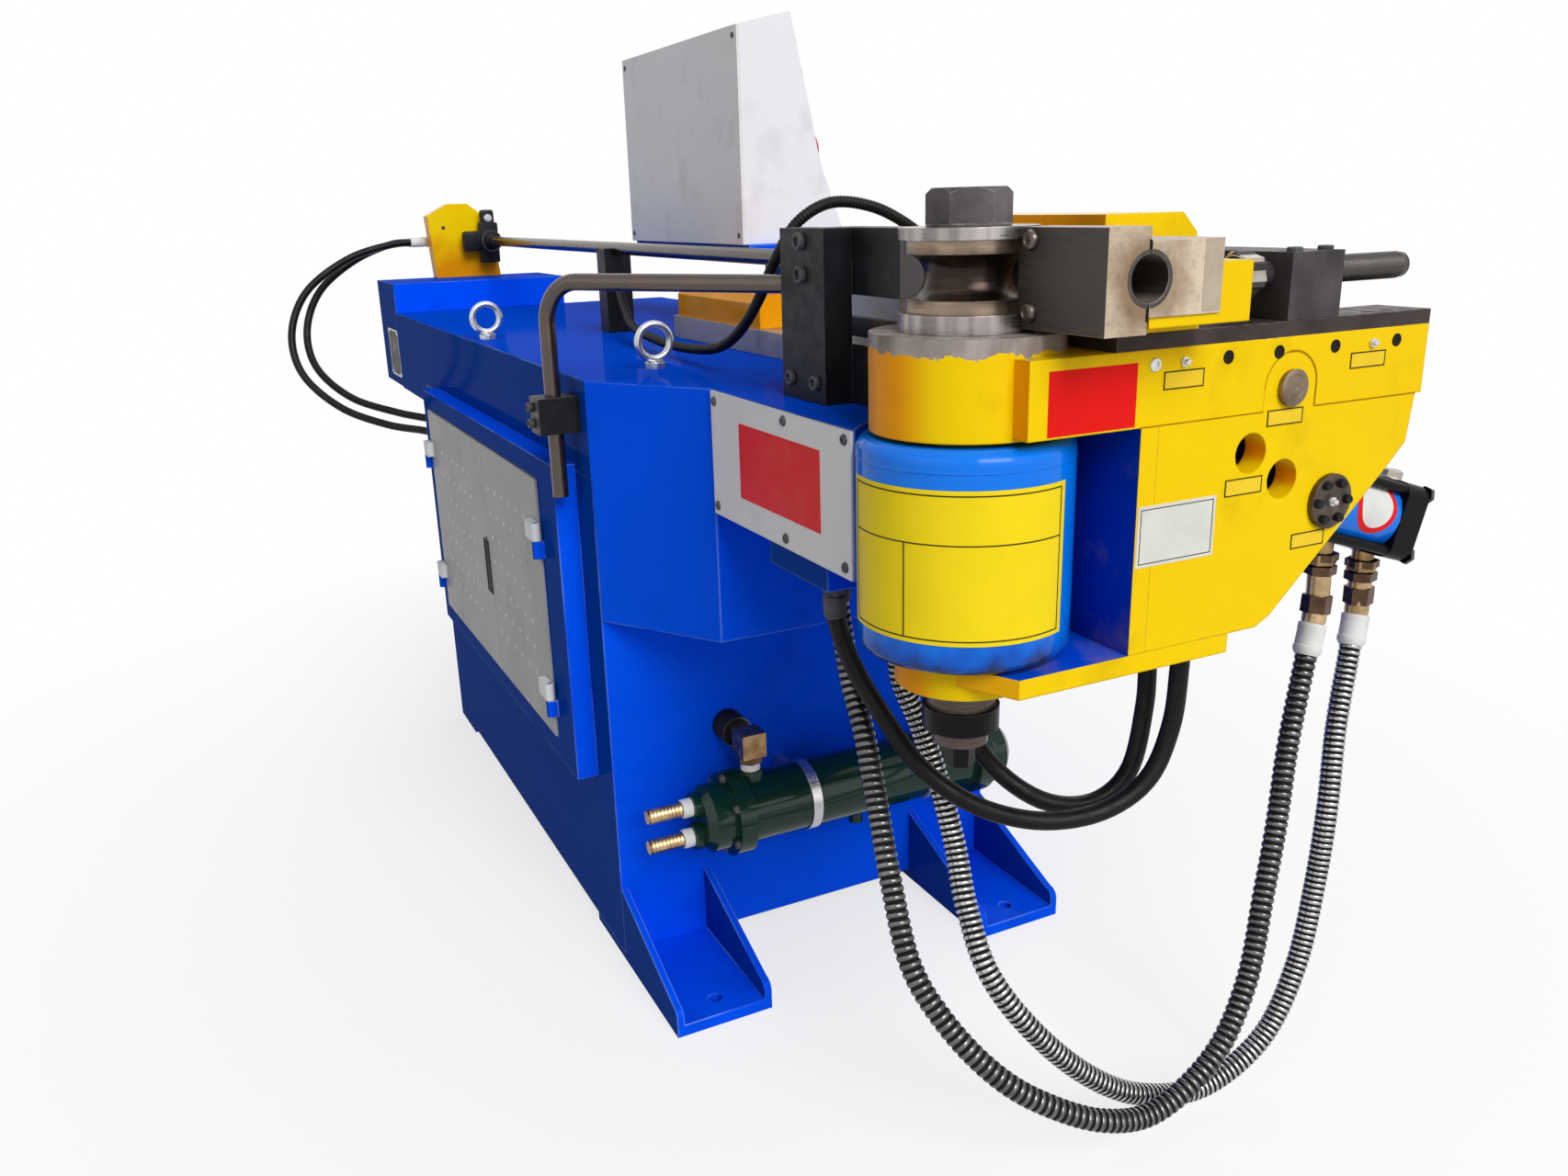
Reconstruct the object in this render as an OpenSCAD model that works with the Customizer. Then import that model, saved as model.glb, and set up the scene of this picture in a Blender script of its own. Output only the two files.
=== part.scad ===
// Hydraulic rotary draw tube bender: bed and cabinet, spindle housing, swing arm with bend die and
// toggle clamp, wiper and pressure dies, mandrel rod, control console, oil cooler and hoses.
// All sizes are in millimetres. Pieces are drawn around the bend spindle, floor at z = 0, tube along X,
// and moved so that the middle of the four floor bolts is the origin.

/* [Tube and bend die] */
// Outside diameter of the tube
tube_d = 38; // [32:1:40]
// Centre line radius of the bend
bend_r = 57; // [56:1:60]
// Height of the tube centre line above the floor
tube_z = 947; // [930:1:980]
// Height of the bend die
die_h = 61; // [56:1:66]
// Thickness of the ring under the die
low_ring_h = 16.5; // [12:0.5:20]
// Thickness of the ring over the die
top_ring_h = 10.5; // [8:0.5:14]
// Diameter of both rings
ring_d = 123; // [116:1:126]

/* [Spindle and housing] */
// Diameter of the spindle in its bushes
shaft_d = 80; // [70:1:90]
// Diameter of the spindle neck in the die
neck_d = 60; // [54:1:64]
// Diameter of the bearing housing
drum_d = 200; // [180:1:206]
// Height of the bearing housing
drum_h = 202; // [190:1:215]
// Wall of the bearing bushes
bush_t = 12; // [8:1:16]
// Length of each bearing bush
bush_h = 45; // [30:1:60]
// Gap between turning and standing faces
face_gap = 4; // [3:0.5:5]

/* [Swing arm] */
// Width of the arm along X
arm_w = 214; // [200:1:220]
// Reach of the arm from the spindle axis
arm_len = 467; // [455:1:490]
// Diameter of the arm hub
hub_d = 175; // [165:1:180]
// Height of the arm hub
hub_h = 87; // [80:1:90]
// Height of the upper arm block
block_h = 67; // [60:1:70]
// Thickness of the guide rails
rail_h = 14; // [10:1:16]
// Thickness of the arm's side plates
cheek_t = 25; // [18:1:28]
// Distance of the web from the spindle axis
web_y = 110; // [108:1:118]
// Thickness of the web
web_t = 20; // [14:1:26]
// Thickness of the lower arm plate
lower_t = 19; // [14:1:24]
// Reach of the lower arm plate
lower_len = 233; // [225:1:250]

/* [Clamp] */
// Length of the clamp dies along the tube
clamp_len = 120; // [110:1:130]
// Height of the clamp dies
clamp_h = 83; // [78:1:86]
// Thickness of the moving clamp die
clamp_t = 75; // [65:1:80]
// Opening travel of the clamp slide
clamp_travel = 30; // [20:1:30]
// Outside diameter of the clamp cylinder
cylinder_d = 84; // [70:1:90]
// Tilt of the clamp cylinder
cylinder_tilt = 17.4; // [15:0.1:20]

/* [Machine bed] */
// Left wall from the tube spindle
bed_left = 188; // [180:1:200]
// Right wall from the tube spindle
bed_right = 410; // [400:1:430]
// Front of the upper bed behind the spindle
bed_front = 381; // [370:1:395]
// Rear of the upper bed behind the spindle
bed_rear = 1826; // [1790:1:1860]
// Height of the cabinet under the bed
cabinet_top = 690; // [685:1:700]
// Front wall of the cabinet behind the spindle
cabinet_front = 535; // [525:1:545]
// Rear wall of the cabinet behind the spindle
cabinet_rear = 1560; // [1550:1:1570]
// Thickness of the welded walls
wall = 8; // [5:1:10]
// Thickness of the bed's top plate
top_t = 16; // [12:1:20]
// Half width of the nose
nose_half = 87; // [82:1:88]
// Underside of the nose above the floor
nose_bot = 666; // [655:1:680]
// Underside of the front overhang above the floor
front_bot = 503; // [490:1:515]

/* [Doors] */
// Rear edge of the door pair behind the spindle
doors_rear = 1396; // [1390:1:1402]
// Front edge of the door pair behind the spindle
doors_front = 684; // [680:1:690]
// Lower edge of the doors above the floor
doors_bot = 292; // [288:1:296]
// Upper edge of the doors above the floor
doors_top = 666; // [660:1:668]
// Depth of the door trays
door_t = 20; // [15:1:24]
// How far the door frame stands out of the wall
frame_t = 30; // [26:1:34]

/* [Console] */
// Width of the console
console_w = 504; // [480:1:520]
// Front end of the console behind the spindle
console_x = 896; // [880:1:910]
// Back panel of the console from the spindle
console_y = 200; // [195:1:230]
// Lower edge of the console above the floor
console_bot = 950; // [940:1:960]
// Height of the console's back panel
console_h = 317; // [300:1:330]

/* [Oil cooler] */
// Diameter of the cooler shell
cooler_d = 92; // [84:1:98]
// Length of the cooler shell
cooler_len = 378; // [340:1:390]
// Height of the cooler axis above the floor
cooler_z = 230; // [220:1:250]

/* [Mandrel] */
// Diameter of the mandrel rod
rod_d = 20; // [16:1:24]
// Face of the mandrel bracket behind the spindle
bracket_x = 1985; // [1970:1:2000]
// Travel of the mandrel rod
mandrel_travel = 60; // [40:1:70]

/* [Hidden] */
$fn = 48;

// Overrun of every cut, and the clearances of running, sliding and seated pieces
cut = 1;
run_fit = 0.05;
slide_fit = 0.3;
rest_gap = 0.75;

// Paint and metal colours
blue = "#0a3fb8";
yellow = "#f2c014";
black = "#26282b";
steel = "#8f8b84";
grey = "#c9ccd0";
brass = "#b08d3c";

// Heights of the spindle stack, worked out from the tube line
die_bot = tube_z - die_h / 2;
die_top = tube_z + die_h / 2;
hub_top = die_bot - low_ring_h;
hub_bot = hub_top - hub_h;
drum_top = hub_bot - face_gap;
drum_bot = drum_top - drum_h;
lower_top = drum_bot - face_gap / 2;
lower_bot = lower_top - lower_t;
ring_top = die_top + top_ring_h;
die_lip = 1.5;
drum_edge = 12;
die_r = bend_r - die_lip;
neck_short = 3;

// Lower arm boss and the nut stack under it
boss_d = 128;
boss_h = 34;
boss_bot = lower_top - boss_h;
thread_d = 54;
thread_len = 48;
nut_d = 66;
nut_h = 26;
collar_d = 75;
collar_h = 23;
washer_d = 54;
washer_h = 16;
end_hex_af = 26;
end_hex_h = 26;

// Hexagon bolt over the die
bolt_af = 65;
bolt_h = 30;
bolt_washer_d = 74;
bolt_washer_h = 2;
bolt_shank_d = 42;
bolt_depth = 70;

// Upper arm block, rails and the slot for the toggle lever
hub_step = 17;
block_top = hub_top - hub_step;
block_bot = block_top - block_h;
swing_gap = 5;
bed_top = block_bot - swing_gap;
block_tail = 12;
rail_top = block_top + rail_h;
rail_y = 78;
rail_slot = 90;
lever_slot_w = 44;
lever_slot_y0 = 250;
lever_slot_y1 = 352;

// Toggle pivots and the tilted cylinder
pivot_y = 287;
pivot_up = 20;
pivot_z = block_bot + pivot_up;
tab_r = 33;
pin_d = 24;
pin_cap_d = 34;
pin_cap_h = 5;
trunnion_y = 351;
trunnion_drop = 115;
trunnion_z = pivot_z - trunnion_drop;
trunnion_d = 40;
trunnion_cap_d = 54;
lever_up = 52;
lever_down = 95;
lever_t = 28;
lever_tip_r = 14;
lever_neck_w = 18;
lever_mid_r = 24;
lever_low_r = 21;
link_pin_d = 14;
link_hole_d = 26;
head_from = 12;
head_len = 30;
barrel_to = 206;
cap_len = 36;
end_cap = 86;
end_cap_round = 14;
tie_inset = 8.5;
tie_at = end_cap / 2 - tie_inset;
cap_size = 100;
tie_d = 12;
piston_d = 28;
piston_bore = 125;
piston_in = 112;
fork_w = 62;
fork_h = 36;
fork_gap = 3;
fork_from = 88;
fork_to = 40;

// Side plate outline below the block, as places along Y and Z
cheek_corner_y = 268;
cheek_low_y = 286;
cheek_low_rise = 9;
cheek_slope_y = 431;
cheek_slope_rise = 141;
cheek_knee_y = 453;
cheek_knee_rise = 163;
cheek_out_y = 459;
cheek_hole_d = 38;
cheek_hole_a = [243, -37];
cheek_hole_b = [286, -66];

// Clamp dies, slide and adjusting screw
clamp_x = 45;
clamp_under = 43;
clamp_bot = tube_z - clamp_under;
clamp_rise = 13;
clamp_seat = clamp_bot + clamp_rise;
grip_in = 14;
slide_reach = 168;
slide_pad_x = 90;
slide_pad_y = 60;
slide_tail = 60;
slide_inset = 2;
upright_h = 53;
slide_lip = 4;
screw_block_y = 275;
screw_block_t = 65;
screw_block_h = 60;
lug_w = 36;
lug_wall = 12;
lug_drop = 21;
lug_play = 2.5;
lug_roof = 10;
lug_plate_h = 18;
screw_x = 75;
screw_up = 34;
screw_z = clamp_bot + screw_up;
screw_d = 24;
screw_end = 455;
screw_nut_af = 36;
screw_nut_t = 22;
screw_nut_y = 236;
grip_bolt_d = 14;
grip_bolt_h = 4.5;
grip_bolt_x = 71;

// Wiper die, its arm and column
column_x = 288;
column_l = 96;
column_y = 40;
wiper_in = 8;
wiper_y = 30;
column_over = 39;
column_top = tube_z + column_over;
column_base_l = 128;
column_base_h = 61;
wiper_arm_x = 250;
wiper_die_x = 100;
wiper_h = 65;
wiper_tip = 4;
die_clear = 0.8;
groove_clear = 0.3;

// Bent brace rod and its clamp on the left wall
brace_d = 20;
brace_drop = 58;
brace_z = column_top - brace_drop;
brace_y = 24;
brace_foot_x = 580;
brace_stand_off = 27;
brace_foot_y = bed_left + brace_stand_off;
brace_bend_r = 50;
brace_end_z = 663;
brace_hold = 12;
clamp_block_w = 40;
clamp_block_t = 52;
clamp_block_z = 745;
clamp_block_h = 45;
steady_x = 1110;
steady_w = 40;
steady_l = 45;
steady_slot = 1;

// Eye bolts on the bed top
eye_places = [[-596, -72], [-1130, -160]];
eye_r = 22;
eye_wire = 5;
eye_base_d = 26;
eye_base_h = 8;
eye_neck = 12;

// Pressure die group
press_bed_rear = 960;
press_bed_front = 125;
press_bed_y0 = 100;
press_bed_y1 = 240;
press_bed_h = 34;
press_rear = 420;
press_top_rear = 250;
press_front = 38;
press_y0 = 118;
press_y1 = 226;
press_over = 47;
press_under = 31;
press_chamfer = 18;
press_die_rear = 300;
press_die_tip = 2;
press_die_h = 58;
press_foot_front = 130;
press_travel = 25;
guide_rear = 950;
guide_front = 650;
guide_h = 45;
guide_inset = 5;
guide_r = 12;
press_cyl_x = 275;
press_cyl_up = 69;
press_cyl_z = bed_top + press_cyl_up;
press_cyl_d = 80;
press_cyl_y0 = 285;
press_cyl_y1 = 400;
press_lug_w = 110;
press_lug_t = 20;
press_lug_h = 130;
cable_drop = 11;
cable_side = 40;
press_rod_d = 28;
press_rod_in = 60;

// Mandrel head, knuckle, bracket and cylinder
mandrel_play = 5;
mandrel_d = tube_d - mandrel_play;
mandrel_rear = 120;
mandrel_tip = 6;
knuckle_d = 46;
knuckle_l = 42;
knuckle_gap = 12;
knuckle_ear_w = 22;
knuckle_ear_h = 62;
bracket_left = 117;
bracket_lean = 9;
bracket_right = 27;
bracket_flat = [78, 36];
bracket_shoulder = 13;
bracket_left_up = 56;
bracket_top_up = 81;
bracket_right_up = 43;
bracket_t = 40;
rear_box_l = 200;
rear_box_top = 870;
rear_box_bot = 655;
rear_box_right = 181;
rear_box_left = 185;
mandrel_cyl_d = 70;
mandrel_cyl_l = 190;
mandrel_bore = 95;
mandrel_port_x = [65, 110];
mandrel_port_d = 22;
mandrel_port_y = -53;

// Nose cover plate and pressure side of the nose
plate_t = 3;
plate_rear = 376;
plate_front = 52;
plate_edge = 1;
nose_side_gap = 8;
nose_side_front = arm_w / 2 + nose_side_gap;
nose_side_y = 300;
nose_hollow = 140;
chamfer_y = 101;

// Feet, floor and floor bolts
foot_reach = 195;
foot_w = 133;
foot_h = 112;
foot_toe_h = 40;
foot_toe_r = 14;
foot_plate_h = 16;
foot_wall = 10;
floor_gap = 12;
floor_bolt_d = 18;
toe_bolt = 35;
rear_pad_l = 120;
rear_bolt = 45;

// Doors, frame and hinges
frame_rear = 1440;
frame_front = 600;
frame_bot = 258;
frame_top = 698;
door_gap = 2;
door_split = 990;
door_skin = 2;
door_proud = 3;
hinge_r = 7;
hinge_pin_r = 3;
hinge_h = 25;
hinge_out = 8;
hinge_shares = [0.16, 0.78];
door_hole_in = 26;
pull_w = 12;
pull_h = 70;
pull_in = 26;

// Console section as shares of its back panel height, and its stand
console_top_rise = 21;
console_depth_top = 87;
console_knee_share = 0.36;
console_knee_depth = 137;
console_lip_depth = 175;
console_toe_rise = 15;
sheet = 3;
stand_h = 25;
stand_inset = 15;
post_w = 80;
post_x = 850;
post_y = 250;
stop_x = 960;
stop_share = 0.13;
stop_head_d = 40;
stop_head_h = 16;
stop_stem_d = 22;
stop_stem_l = 14;
stop_ring_h = 5;
stop_travel = 5;

// Cooler mounting, flanges and fittings
cooler_x = 460;
cooler_y = -48;
flange_d = 114;
flange_t = 12;
dome_l = 38;
saddle_shares = [0.28, 0.78];
saddle_w = 14;
saddle_h = 60;
strap_t = 2.5;
barb_d = 18;
barb_l = 62;
barb_step = 44;
tape_d = 24;
tape_l = 14;
elbow_y = -20;
elbow_d = 24;
elbow_z = 325;
elbow_box = 34;
coupling_d = 42;
coupling_l = 36;
boss_cap_d = 36;
boss_cap_l = 10;
drain_share = 0.5;
drain_d = 20;
drain_l = 16;

// Hose ends under the nose, on the arm and inside it
manifold_x0 = -250;
manifold_x1 = -120;
manifold_y0 = -80;
manifold_y1 = 95;
manifold_h = 30;
manifold_bot = nose_bot - manifold_h;
arm_block_y = 280;
arm_block_x = 50;
arm_block_up = 20;
arm_block_bot = lower_top + arm_block_up;
arm_block_h = 30;

// Pump motor in the cabinet
motor_x0 = -1290;
motor_len = 270;
motor_y = 220;
motor_r = 95;
motor_bell_l = 60;
motor_bell_r = 70;
motor_fins = 20;
motor_fin_h = 8;
motor_fin_t = 3;
motor_foot_w = 150;

// Hose sizes
armour_d = 25;
armour_bore = 14;
armour_rib = 2;
armour_ribs = 60;
arm_hose_d = 20;
mandrel_hose_d = 16;
fitting_d = 24;
conduit_d = 13;

// Seats of the armoured hoses under the clamp cylinder
port_a_out = 129;
port_a_drop = 121;
port_b_out = 197;
port_b_drop = 139;
armour_end_a = [0, trunnion_y + port_a_out, trunnion_z - port_a_drop];
armour_end_b = [0, trunnion_y + port_b_out, trunnion_z - port_b_drop];

// Hand-chosen hose routes around the spindle
route_armour_a = [
    [-190, -30, 636], [-190, -30, 600], [-172, -27, 520], [-140, -28, 464], [-105, -32, 393],
    [-65, -40, 327], [-20, -44, 254], [15, -27, 203], [50, 7, 153], [75, 53, 113], [95, 125, 74],
    [95, 203, 57], [90, 286, 95], [75, 342, 162], [55, 378, 248], [40, 405, 325], [25, 428, 409],
    [10, 458, 492], [0, 480, 560], [0, 480, 600]
];
route_armour_b = [
    [-150, 20, 636], [-150, 20, 600], [-148, 22, 520], [-130, 36, 464], [-105, 44, 407],
    [-75, 47, 341], [-40, 40, 284], [0, 41, 227], [30, 75, 165], [50, 136, 98], [60, 208, 50],
    [62, 302, 26], [62, 390, 60], [58, 440, 139], [48, 470, 239], [40, 486, 329], [25, 504, 415],
    [10, 530, 490], [0, 548, 545], [0, 548, 582]
];
route_arm_a = [
    [-150, -55, 636], [-150, -55, 600], [-142, -40, 545], [-115, -15, 485], [-80, 8, 438],
    [-40, 47, 404], [0, 100, 390], [20, 165, 393], [27, 220, 420], [25, 250, 474], [25, 256, 540],
    [25, 256, 595], [25, 256, 625]
];
route_arm_b = [
    [-205, 65, 636], [-205, 65, 600], [-180, 72, 535], [-125, 80, 472], [-70, 92, 425],
    [-30, 130, 392], [-15, 185, 384], [-12, 230, 412], [-20, 254, 480], [-22, 256, 540],
    [-22, 256, 595], [-22, 256, 625]
];
route_mandrel_a = [
    [-2050, -53, 947], [-2050, -85, 947], [-2046, -145, 944], [-2036, -241, 917], [-2020, -336, 854],
    [-1995, -381, 769], [-1955, -374, 684], [-1895, -313, 615], [-1825, -233, 580], [-1740, -169, 572],
    [-1660, -140, 570], [-1600, -135, 570], [-1560, -135, 570]
];
route_mandrel_b = [
    [-2095, -53, 947], [-2095, -85, 947], [-2092, -140, 943], [-2080, -225, 910], [-2062, -305, 850],
    [-2035, -345, 770], [-1992, -340, 692], [-1928, -285, 630], [-1850, -205, 600], [-1750, -135, 588],
    [-1660, -102, 576], [-1600, -95, 570], [-1560, -95, 570]
];
route_conduit = [
    [-1090, 45, 890], [-1065, 45, 890], [-960, 20, 855], [-870, 0, 838], [-760, -8, 830], [-665, -10, 828],
    [-560, -14, 834], [-498, -15, 846], [-440, -18, 870], [-385, -20, 908], [-340, -20, 952],
    [-322, -2, 990], [-318, 38, 1010], [-316, 88, 1005], [-315, 133, 985], [-315, 173, 957],
    [-315, 210, 937], [-315, 245, 930], [-315, 265, 930]
];

spindle_x = (cabinet_front - foot_reach + toe_bolt + cabinet_rear - rear_bolt) / 2;
spindle_y = (bed_left - bed_right) / 2;

// Helpers

module machine() {
    translate([spindle_x, spindle_y, 0])
        children();
}

module block(low, high) {
    translate(low)
        cube(high - low);
}

module upright(d, low, high) {
    translate([0, 0, low])
        cylinder(d = d, h = high - low);
}

module along_x(d, x0, x1) {
    translate([x0, 0, 0])
        rotate([0, 90, 0])
            cylinder(d = d, h = x1 - x0);
}

module along_y(d, y0, y1) {
    translate([0, y0, 0])
        rotate([-90, 0, 0])
            cylinder(d = d, h = y1 - y0);
}

// An outline drawn over Y and Z, stretched along X
module yz_plate(x0, x1) {
    translate([x0, 0, 0])
        rotate([90, 0, 90])
            linear_extrude(x1 - x0)
                children();
}

module hexagon(af, h) {
    cylinder(d = af / cos(30), h = h, $fn = 6);
}

// A hand-chosen route with its ends moved onto their seats, and smooth points along it
function fitted(p, first, last) = [
    for (i = [0 : len(p) - 1])
        let (share = i / (len(p) - 1))
        p[i] + (1 - share) * (first - p[0]) + share * (last - p[len(p) - 1])
];
function pick(p, i) = p[max(0, min(len(p) - 1, i))];
function between(a, b, c, d, t) =
    0.5 * ((2 * b) + (c - a) * t + (2 * a - 5 * b + 4 * c - d) * t * t
        + (3 * b - a - 3 * c + d) * t * t * t);
function route_at(p, u) =
    let (last = len(p) - 1, i = min(last - 1, floor(u * last)), t = u * last - i)
    between(pick(p, i - 1), pick(p, i), pick(p, i + 1), pick(p, i + 2), t);
function smooth(p, count) = [for (k = [0 : count - 1]) route_at(p, k / (count - 1))];
function unit(v) = v / norm(v);
function heading(route, q, i) =
    i == 0 ? unit(route[1] - route[0])
    : i == len(q) - 1 ? unit(route[len(route) - 1] - route[len(route) - 2])
    : unit(q[i + 1] - q[i - 1]);
function ring(route, q, i, r, sides, side_hint) =
    let (t = heading(route, q, i), u = unit(cross(t, side_hint)), v = cross(t, u))
    [for (k = [0 : sides - 1])
        q[i] + r * (cos(360 * k / sides) * u + sin(360 * k / sides) * v)];
function skin(first, rings, sides, flip) = [
    for (i = [0 : rings - 2])
        for (k = [0 : sides - 1])
            let (a = first + i * sides + k, b = first + i * sides + (k + 1) % sides)
            for (f = [[a, b, b + sides], [a, b + sides, a + sides]])
                flip ? [f[2], f[1], f[0]] : f
];
function cap_fan(first, sides, flip) = [
    for (k = [1 : sides - 2])
        flip ? [first + k + 1, first + k, first] : [first, first + k, first + k + 1]
];
function cap_ring(outer, inner, sides, flip) = [
    for (k = [0 : sides - 1])
        let (j = (k + 1) % sides)
        for (f = [[outer + k, inner + k, inner + j], [outer + k, inner + j, outer + j]])
            flip ? [f[2], f[1], f[0]] : f
];

// A plain hose swept along its route
module plain_hose(route, d, count, side_hint) {
    sides = 10;
    q = smooth(route, count);
    points = [for (i = [0 : count - 1]) each ring(route, q, i, d / 2, sides, side_hint)];
    faces = concat(skin(0, count, sides, false), cap_fan(0, sides, true),
        cap_fan((count - 1) * sides, sides, false));
    polyhedron(points, faces);
}

// An armoured hose with its bore, each rib a crest ring and a valley ring
module ribbed_hose(route, d, bore, rib, ribs, side_hint) {
    sides = 8;
    step = 4;
    count = 2 * ribs + 1;
    q = smooth(route, count);
    outer = [
        for (i = [0 : count - 1])
            each ring(route, q, i, i % 2 == 0 ? d / 2 - rib : d / 2, sides, side_hint)
    ];
    inner_at = [for (i = [0 : step : count - 1]) i];
    inner = [for (i = inner_at) each ring(route, q, i, bore / 2, sides, side_hint)];
    n = count * sides;
    last = n + (len(inner_at) - 1) * sides;
    faces = concat(skin(0, count, sides, false), skin(n, len(inner_at), sides, true),
        cap_ring(0, n, sides, false), cap_ring((count - 1) * sides, last, sides, true));
    polyhedron(concat(outer, inner), faces);
}

// Bed and cabinet

module base_cabinet() {
    color(blue) machine() difference() {
        block([-cabinet_rear, -bed_left, floor_gap], [-cabinet_front, bed_right, cabinet_top]);
        block([-cabinet_rear + wall, -bed_left + wall, floor_gap + wall],
            [-cabinet_front - wall, bed_right - wall, cabinet_top + cut]);
        block([-doors_rear + door_hole_in, -bed_left - cut, doors_bot + door_hole_in],
            [-doors_front - door_hole_in, -bed_left + wall + cut, doors_top - door_hole_in]);
        for (y = [-bed_left + foot_w / 2, bed_right - foot_w / 2])
            translate([-cabinet_rear + rear_bolt, y, 0])
                upright(floor_bolt_d, 0, floor_gap + wall + cut);
        translate([0, elbow_y, elbow_z])
            along_x(elbow_d + 2 * run_fit, -cabinet_front - wall - cut, -cabinet_front + cut);
    }
}

// A front foot: base plate with its bolt hole between two tapered gussets with rounded toes
module front_foot(low_y, high_y) {
    tip = -cabinet_front + foot_reach;
    difference() {
        block([-cabinet_front, low_y, 0], [tip, high_y, foot_plate_h]);
        translate([tip - toe_bolt, (low_y + high_y) / 2, 0])
            upright(floor_bolt_d, -cut, foot_h);
    }
    for (y = [low_y + foot_wall, high_y])
        translate([0, y, 0])
            rotate([90, 0, 0])
                linear_extrude(foot_wall) {
                    polygon([[-cabinet_front, 0], [tip, 0], [tip, foot_toe_h - foot_toe_r],
                        [tip - foot_toe_r, foot_toe_h], [-cabinet_front, foot_h]]);
                    translate([tip - foot_toe_r, foot_toe_h - foot_toe_r])
                        circle(r = foot_toe_r);
                }
}

module floor_feet() {
    color(blue) machine() {
        front_foot(-bed_left, -bed_left + foot_w);
        front_foot(bed_right - foot_w, bed_right);
        for (y = [-bed_left, bed_right - foot_w])
            difference() {
                block([-cabinet_rear, y, 0], [-cabinet_rear + rear_pad_l, y + foot_w, floor_gap]);
                translate([-cabinet_rear + rear_bolt, y + foot_w / 2, 0])
                    upright(floor_bolt_d, -cut, floor_gap + cut);
            }
        for (y = [-bed_left, bed_right - foot_w])
            block([-cabinet_front - rear_pad_l, y, 0], [-cabinet_front, y + foot_w, floor_gap]);
    }
}

// Plan of the upper bed: left wall, chamfer into the nose, and the pressure die side
module bed_plan(inset) {
    polygon([
        [-bed_rear + inset, -bed_left + inset], [-cabinet_front, -bed_left + inset],
        [-bed_front - inset, -nose_half + inset], [-bed_front - inset, bed_right - inset],
        [-bed_rear + inset, bed_right - inset]
    ]);
}

module upper_bed() {
    color(blue) machine() difference() {
        union() {
            translate([0, 0, cabinet_top])
                linear_extrude(bed_top - cabinet_top)
                    bed_plan(0);
            translate([0, 0, front_bot])
                linear_extrude(cabinet_top - front_bot)
                    intersection() {
                        bed_plan(0);
                        translate([-cabinet_front, -bed_left])
                            square([cabinet_front, bed_left + bed_right]);
                    }
            block([-bed_rear, -bed_left, rear_box_bot], [-cabinet_rear, bed_right, cabinet_top]);
            block([-bed_front, -nose_half, nose_bot], [0, nose_half, bed_top]);
            block([-bed_front, -nose_half, nose_bot], [-nose_side_front, nose_side_y, bed_top]);
        }
        translate([0, 0, cabinet_top - cut])
            linear_extrude(bed_top - top_t - cabinet_top + cut)
                intersection() {
                    bed_plan(wall);
                    translate([-cabinet_rear + wall, -bed_left])
                        square([cabinet_rear, bed_left + bed_right]);
                }
        block([-bed_rear + wall, -bed_left + wall, rear_box_bot - cut],
            [-cabinet_rear - wall, bed_right - wall, bed_top - top_t]);
        block([-bed_front - wall - cut, -nose_half + top_t, nose_bot + top_t],
            [-nose_hollow, nose_side_y - top_t, bed_top - 2 * top_t]);
        translate([0, 0, front_bot + wall])
            linear_extrude(bed_top - top_t - front_bot - wall)
                intersection() {
                    bed_plan(wall);
                    translate([-cabinet_front + wall, -bed_left])
                        square([cabinet_front, bed_left + bed_right]);
                }
        upright(drum_d, nose_bot - cut, bed_top + cut);
    }
}

module rear_box() {
    color(blue) machine() difference() {
        block([-bed_rear - rear_box_l, -rear_box_left, rear_box_bot],
            [-bed_rear, rear_box_right, rear_box_top]);
        block([-bed_rear - rear_box_l + wall, -rear_box_left + wall, rear_box_bot - cut],
            [-bed_rear - wall, rear_box_right - wall, rear_box_top - top_t]);
    }
}

module nose_plate() {
    color(grey) machine()
        difference() {
            block([-plate_rear, -nose_half - plate_t, nose_bot + plate_edge],
                [-plate_front, -nose_half, bed_top - plate_edge]);
            upright(drum_d + 2 * slide_fit, nose_bot, bed_top);
        }
}

module door_frame() {
    pivot_y0 = -bed_left - frame_t - hinge_out;
    color(blue) machine() {
        difference() {
            block([-frame_rear, -bed_left - frame_t, frame_bot], [-frame_front, -bed_left, frame_top]);
            block([-doors_rear - door_gap, -bed_left - frame_t - cut, doors_bot - door_gap],
                [-doors_front + door_gap, -bed_left + cut, doors_top + door_gap]);
        }
        for (x = [-doors_rear - hinge_r, -doors_front + hinge_r])
            for (share = hinge_shares)
                translate([x, pivot_y0, doors_bot + share * (doors_top - doors_bot)]) {
                    upright(2 * hinge_pin_r, -hinge_h, hinge_h);
                    upright(2 * hinge_r, -hinge_h, -slide_fit);
                    block([-hinge_r, 0, -hinge_h], [hinge_r, hinge_out, -slide_fit]);
                }
    }
}

// One tray door, hinged at x_hinge, reaching to x_free
module door(x_hinge, x_free) {
    side = sign(x_free - x_hinge);
    low = min(x_hinge, x_free);
    high = max(x_hinge, x_free);
    face = -bed_left - frame_t - door_proud;
    pivot = [x_hinge - side * hinge_r, -bed_left - frame_t - hinge_out];
    difference() {
        block([low, face, doors_bot], [high, face + door_t, doors_top]);
        block([low + door_skin, face + door_skin, doors_bot + door_skin],
            [high - door_skin, face + door_t + cut, doors_top - door_skin]);
    }
    for (share = hinge_shares)
        translate([pivot[0], pivot[1], doors_bot + share * (doors_top - doors_bot)])
            difference() {
                union() {
                    upright(2 * hinge_r, 0, hinge_h);
                    block([min(0, side * (hinge_r + hinge_h)), -hinge_r, 0],
                        [max(0, side * (hinge_r + hinge_h)), hinge_out - door_proud, hinge_h]);
                }
                upright(2 * (hinge_pin_r + run_fit), -cut, hinge_h + cut);
            }
}

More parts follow.
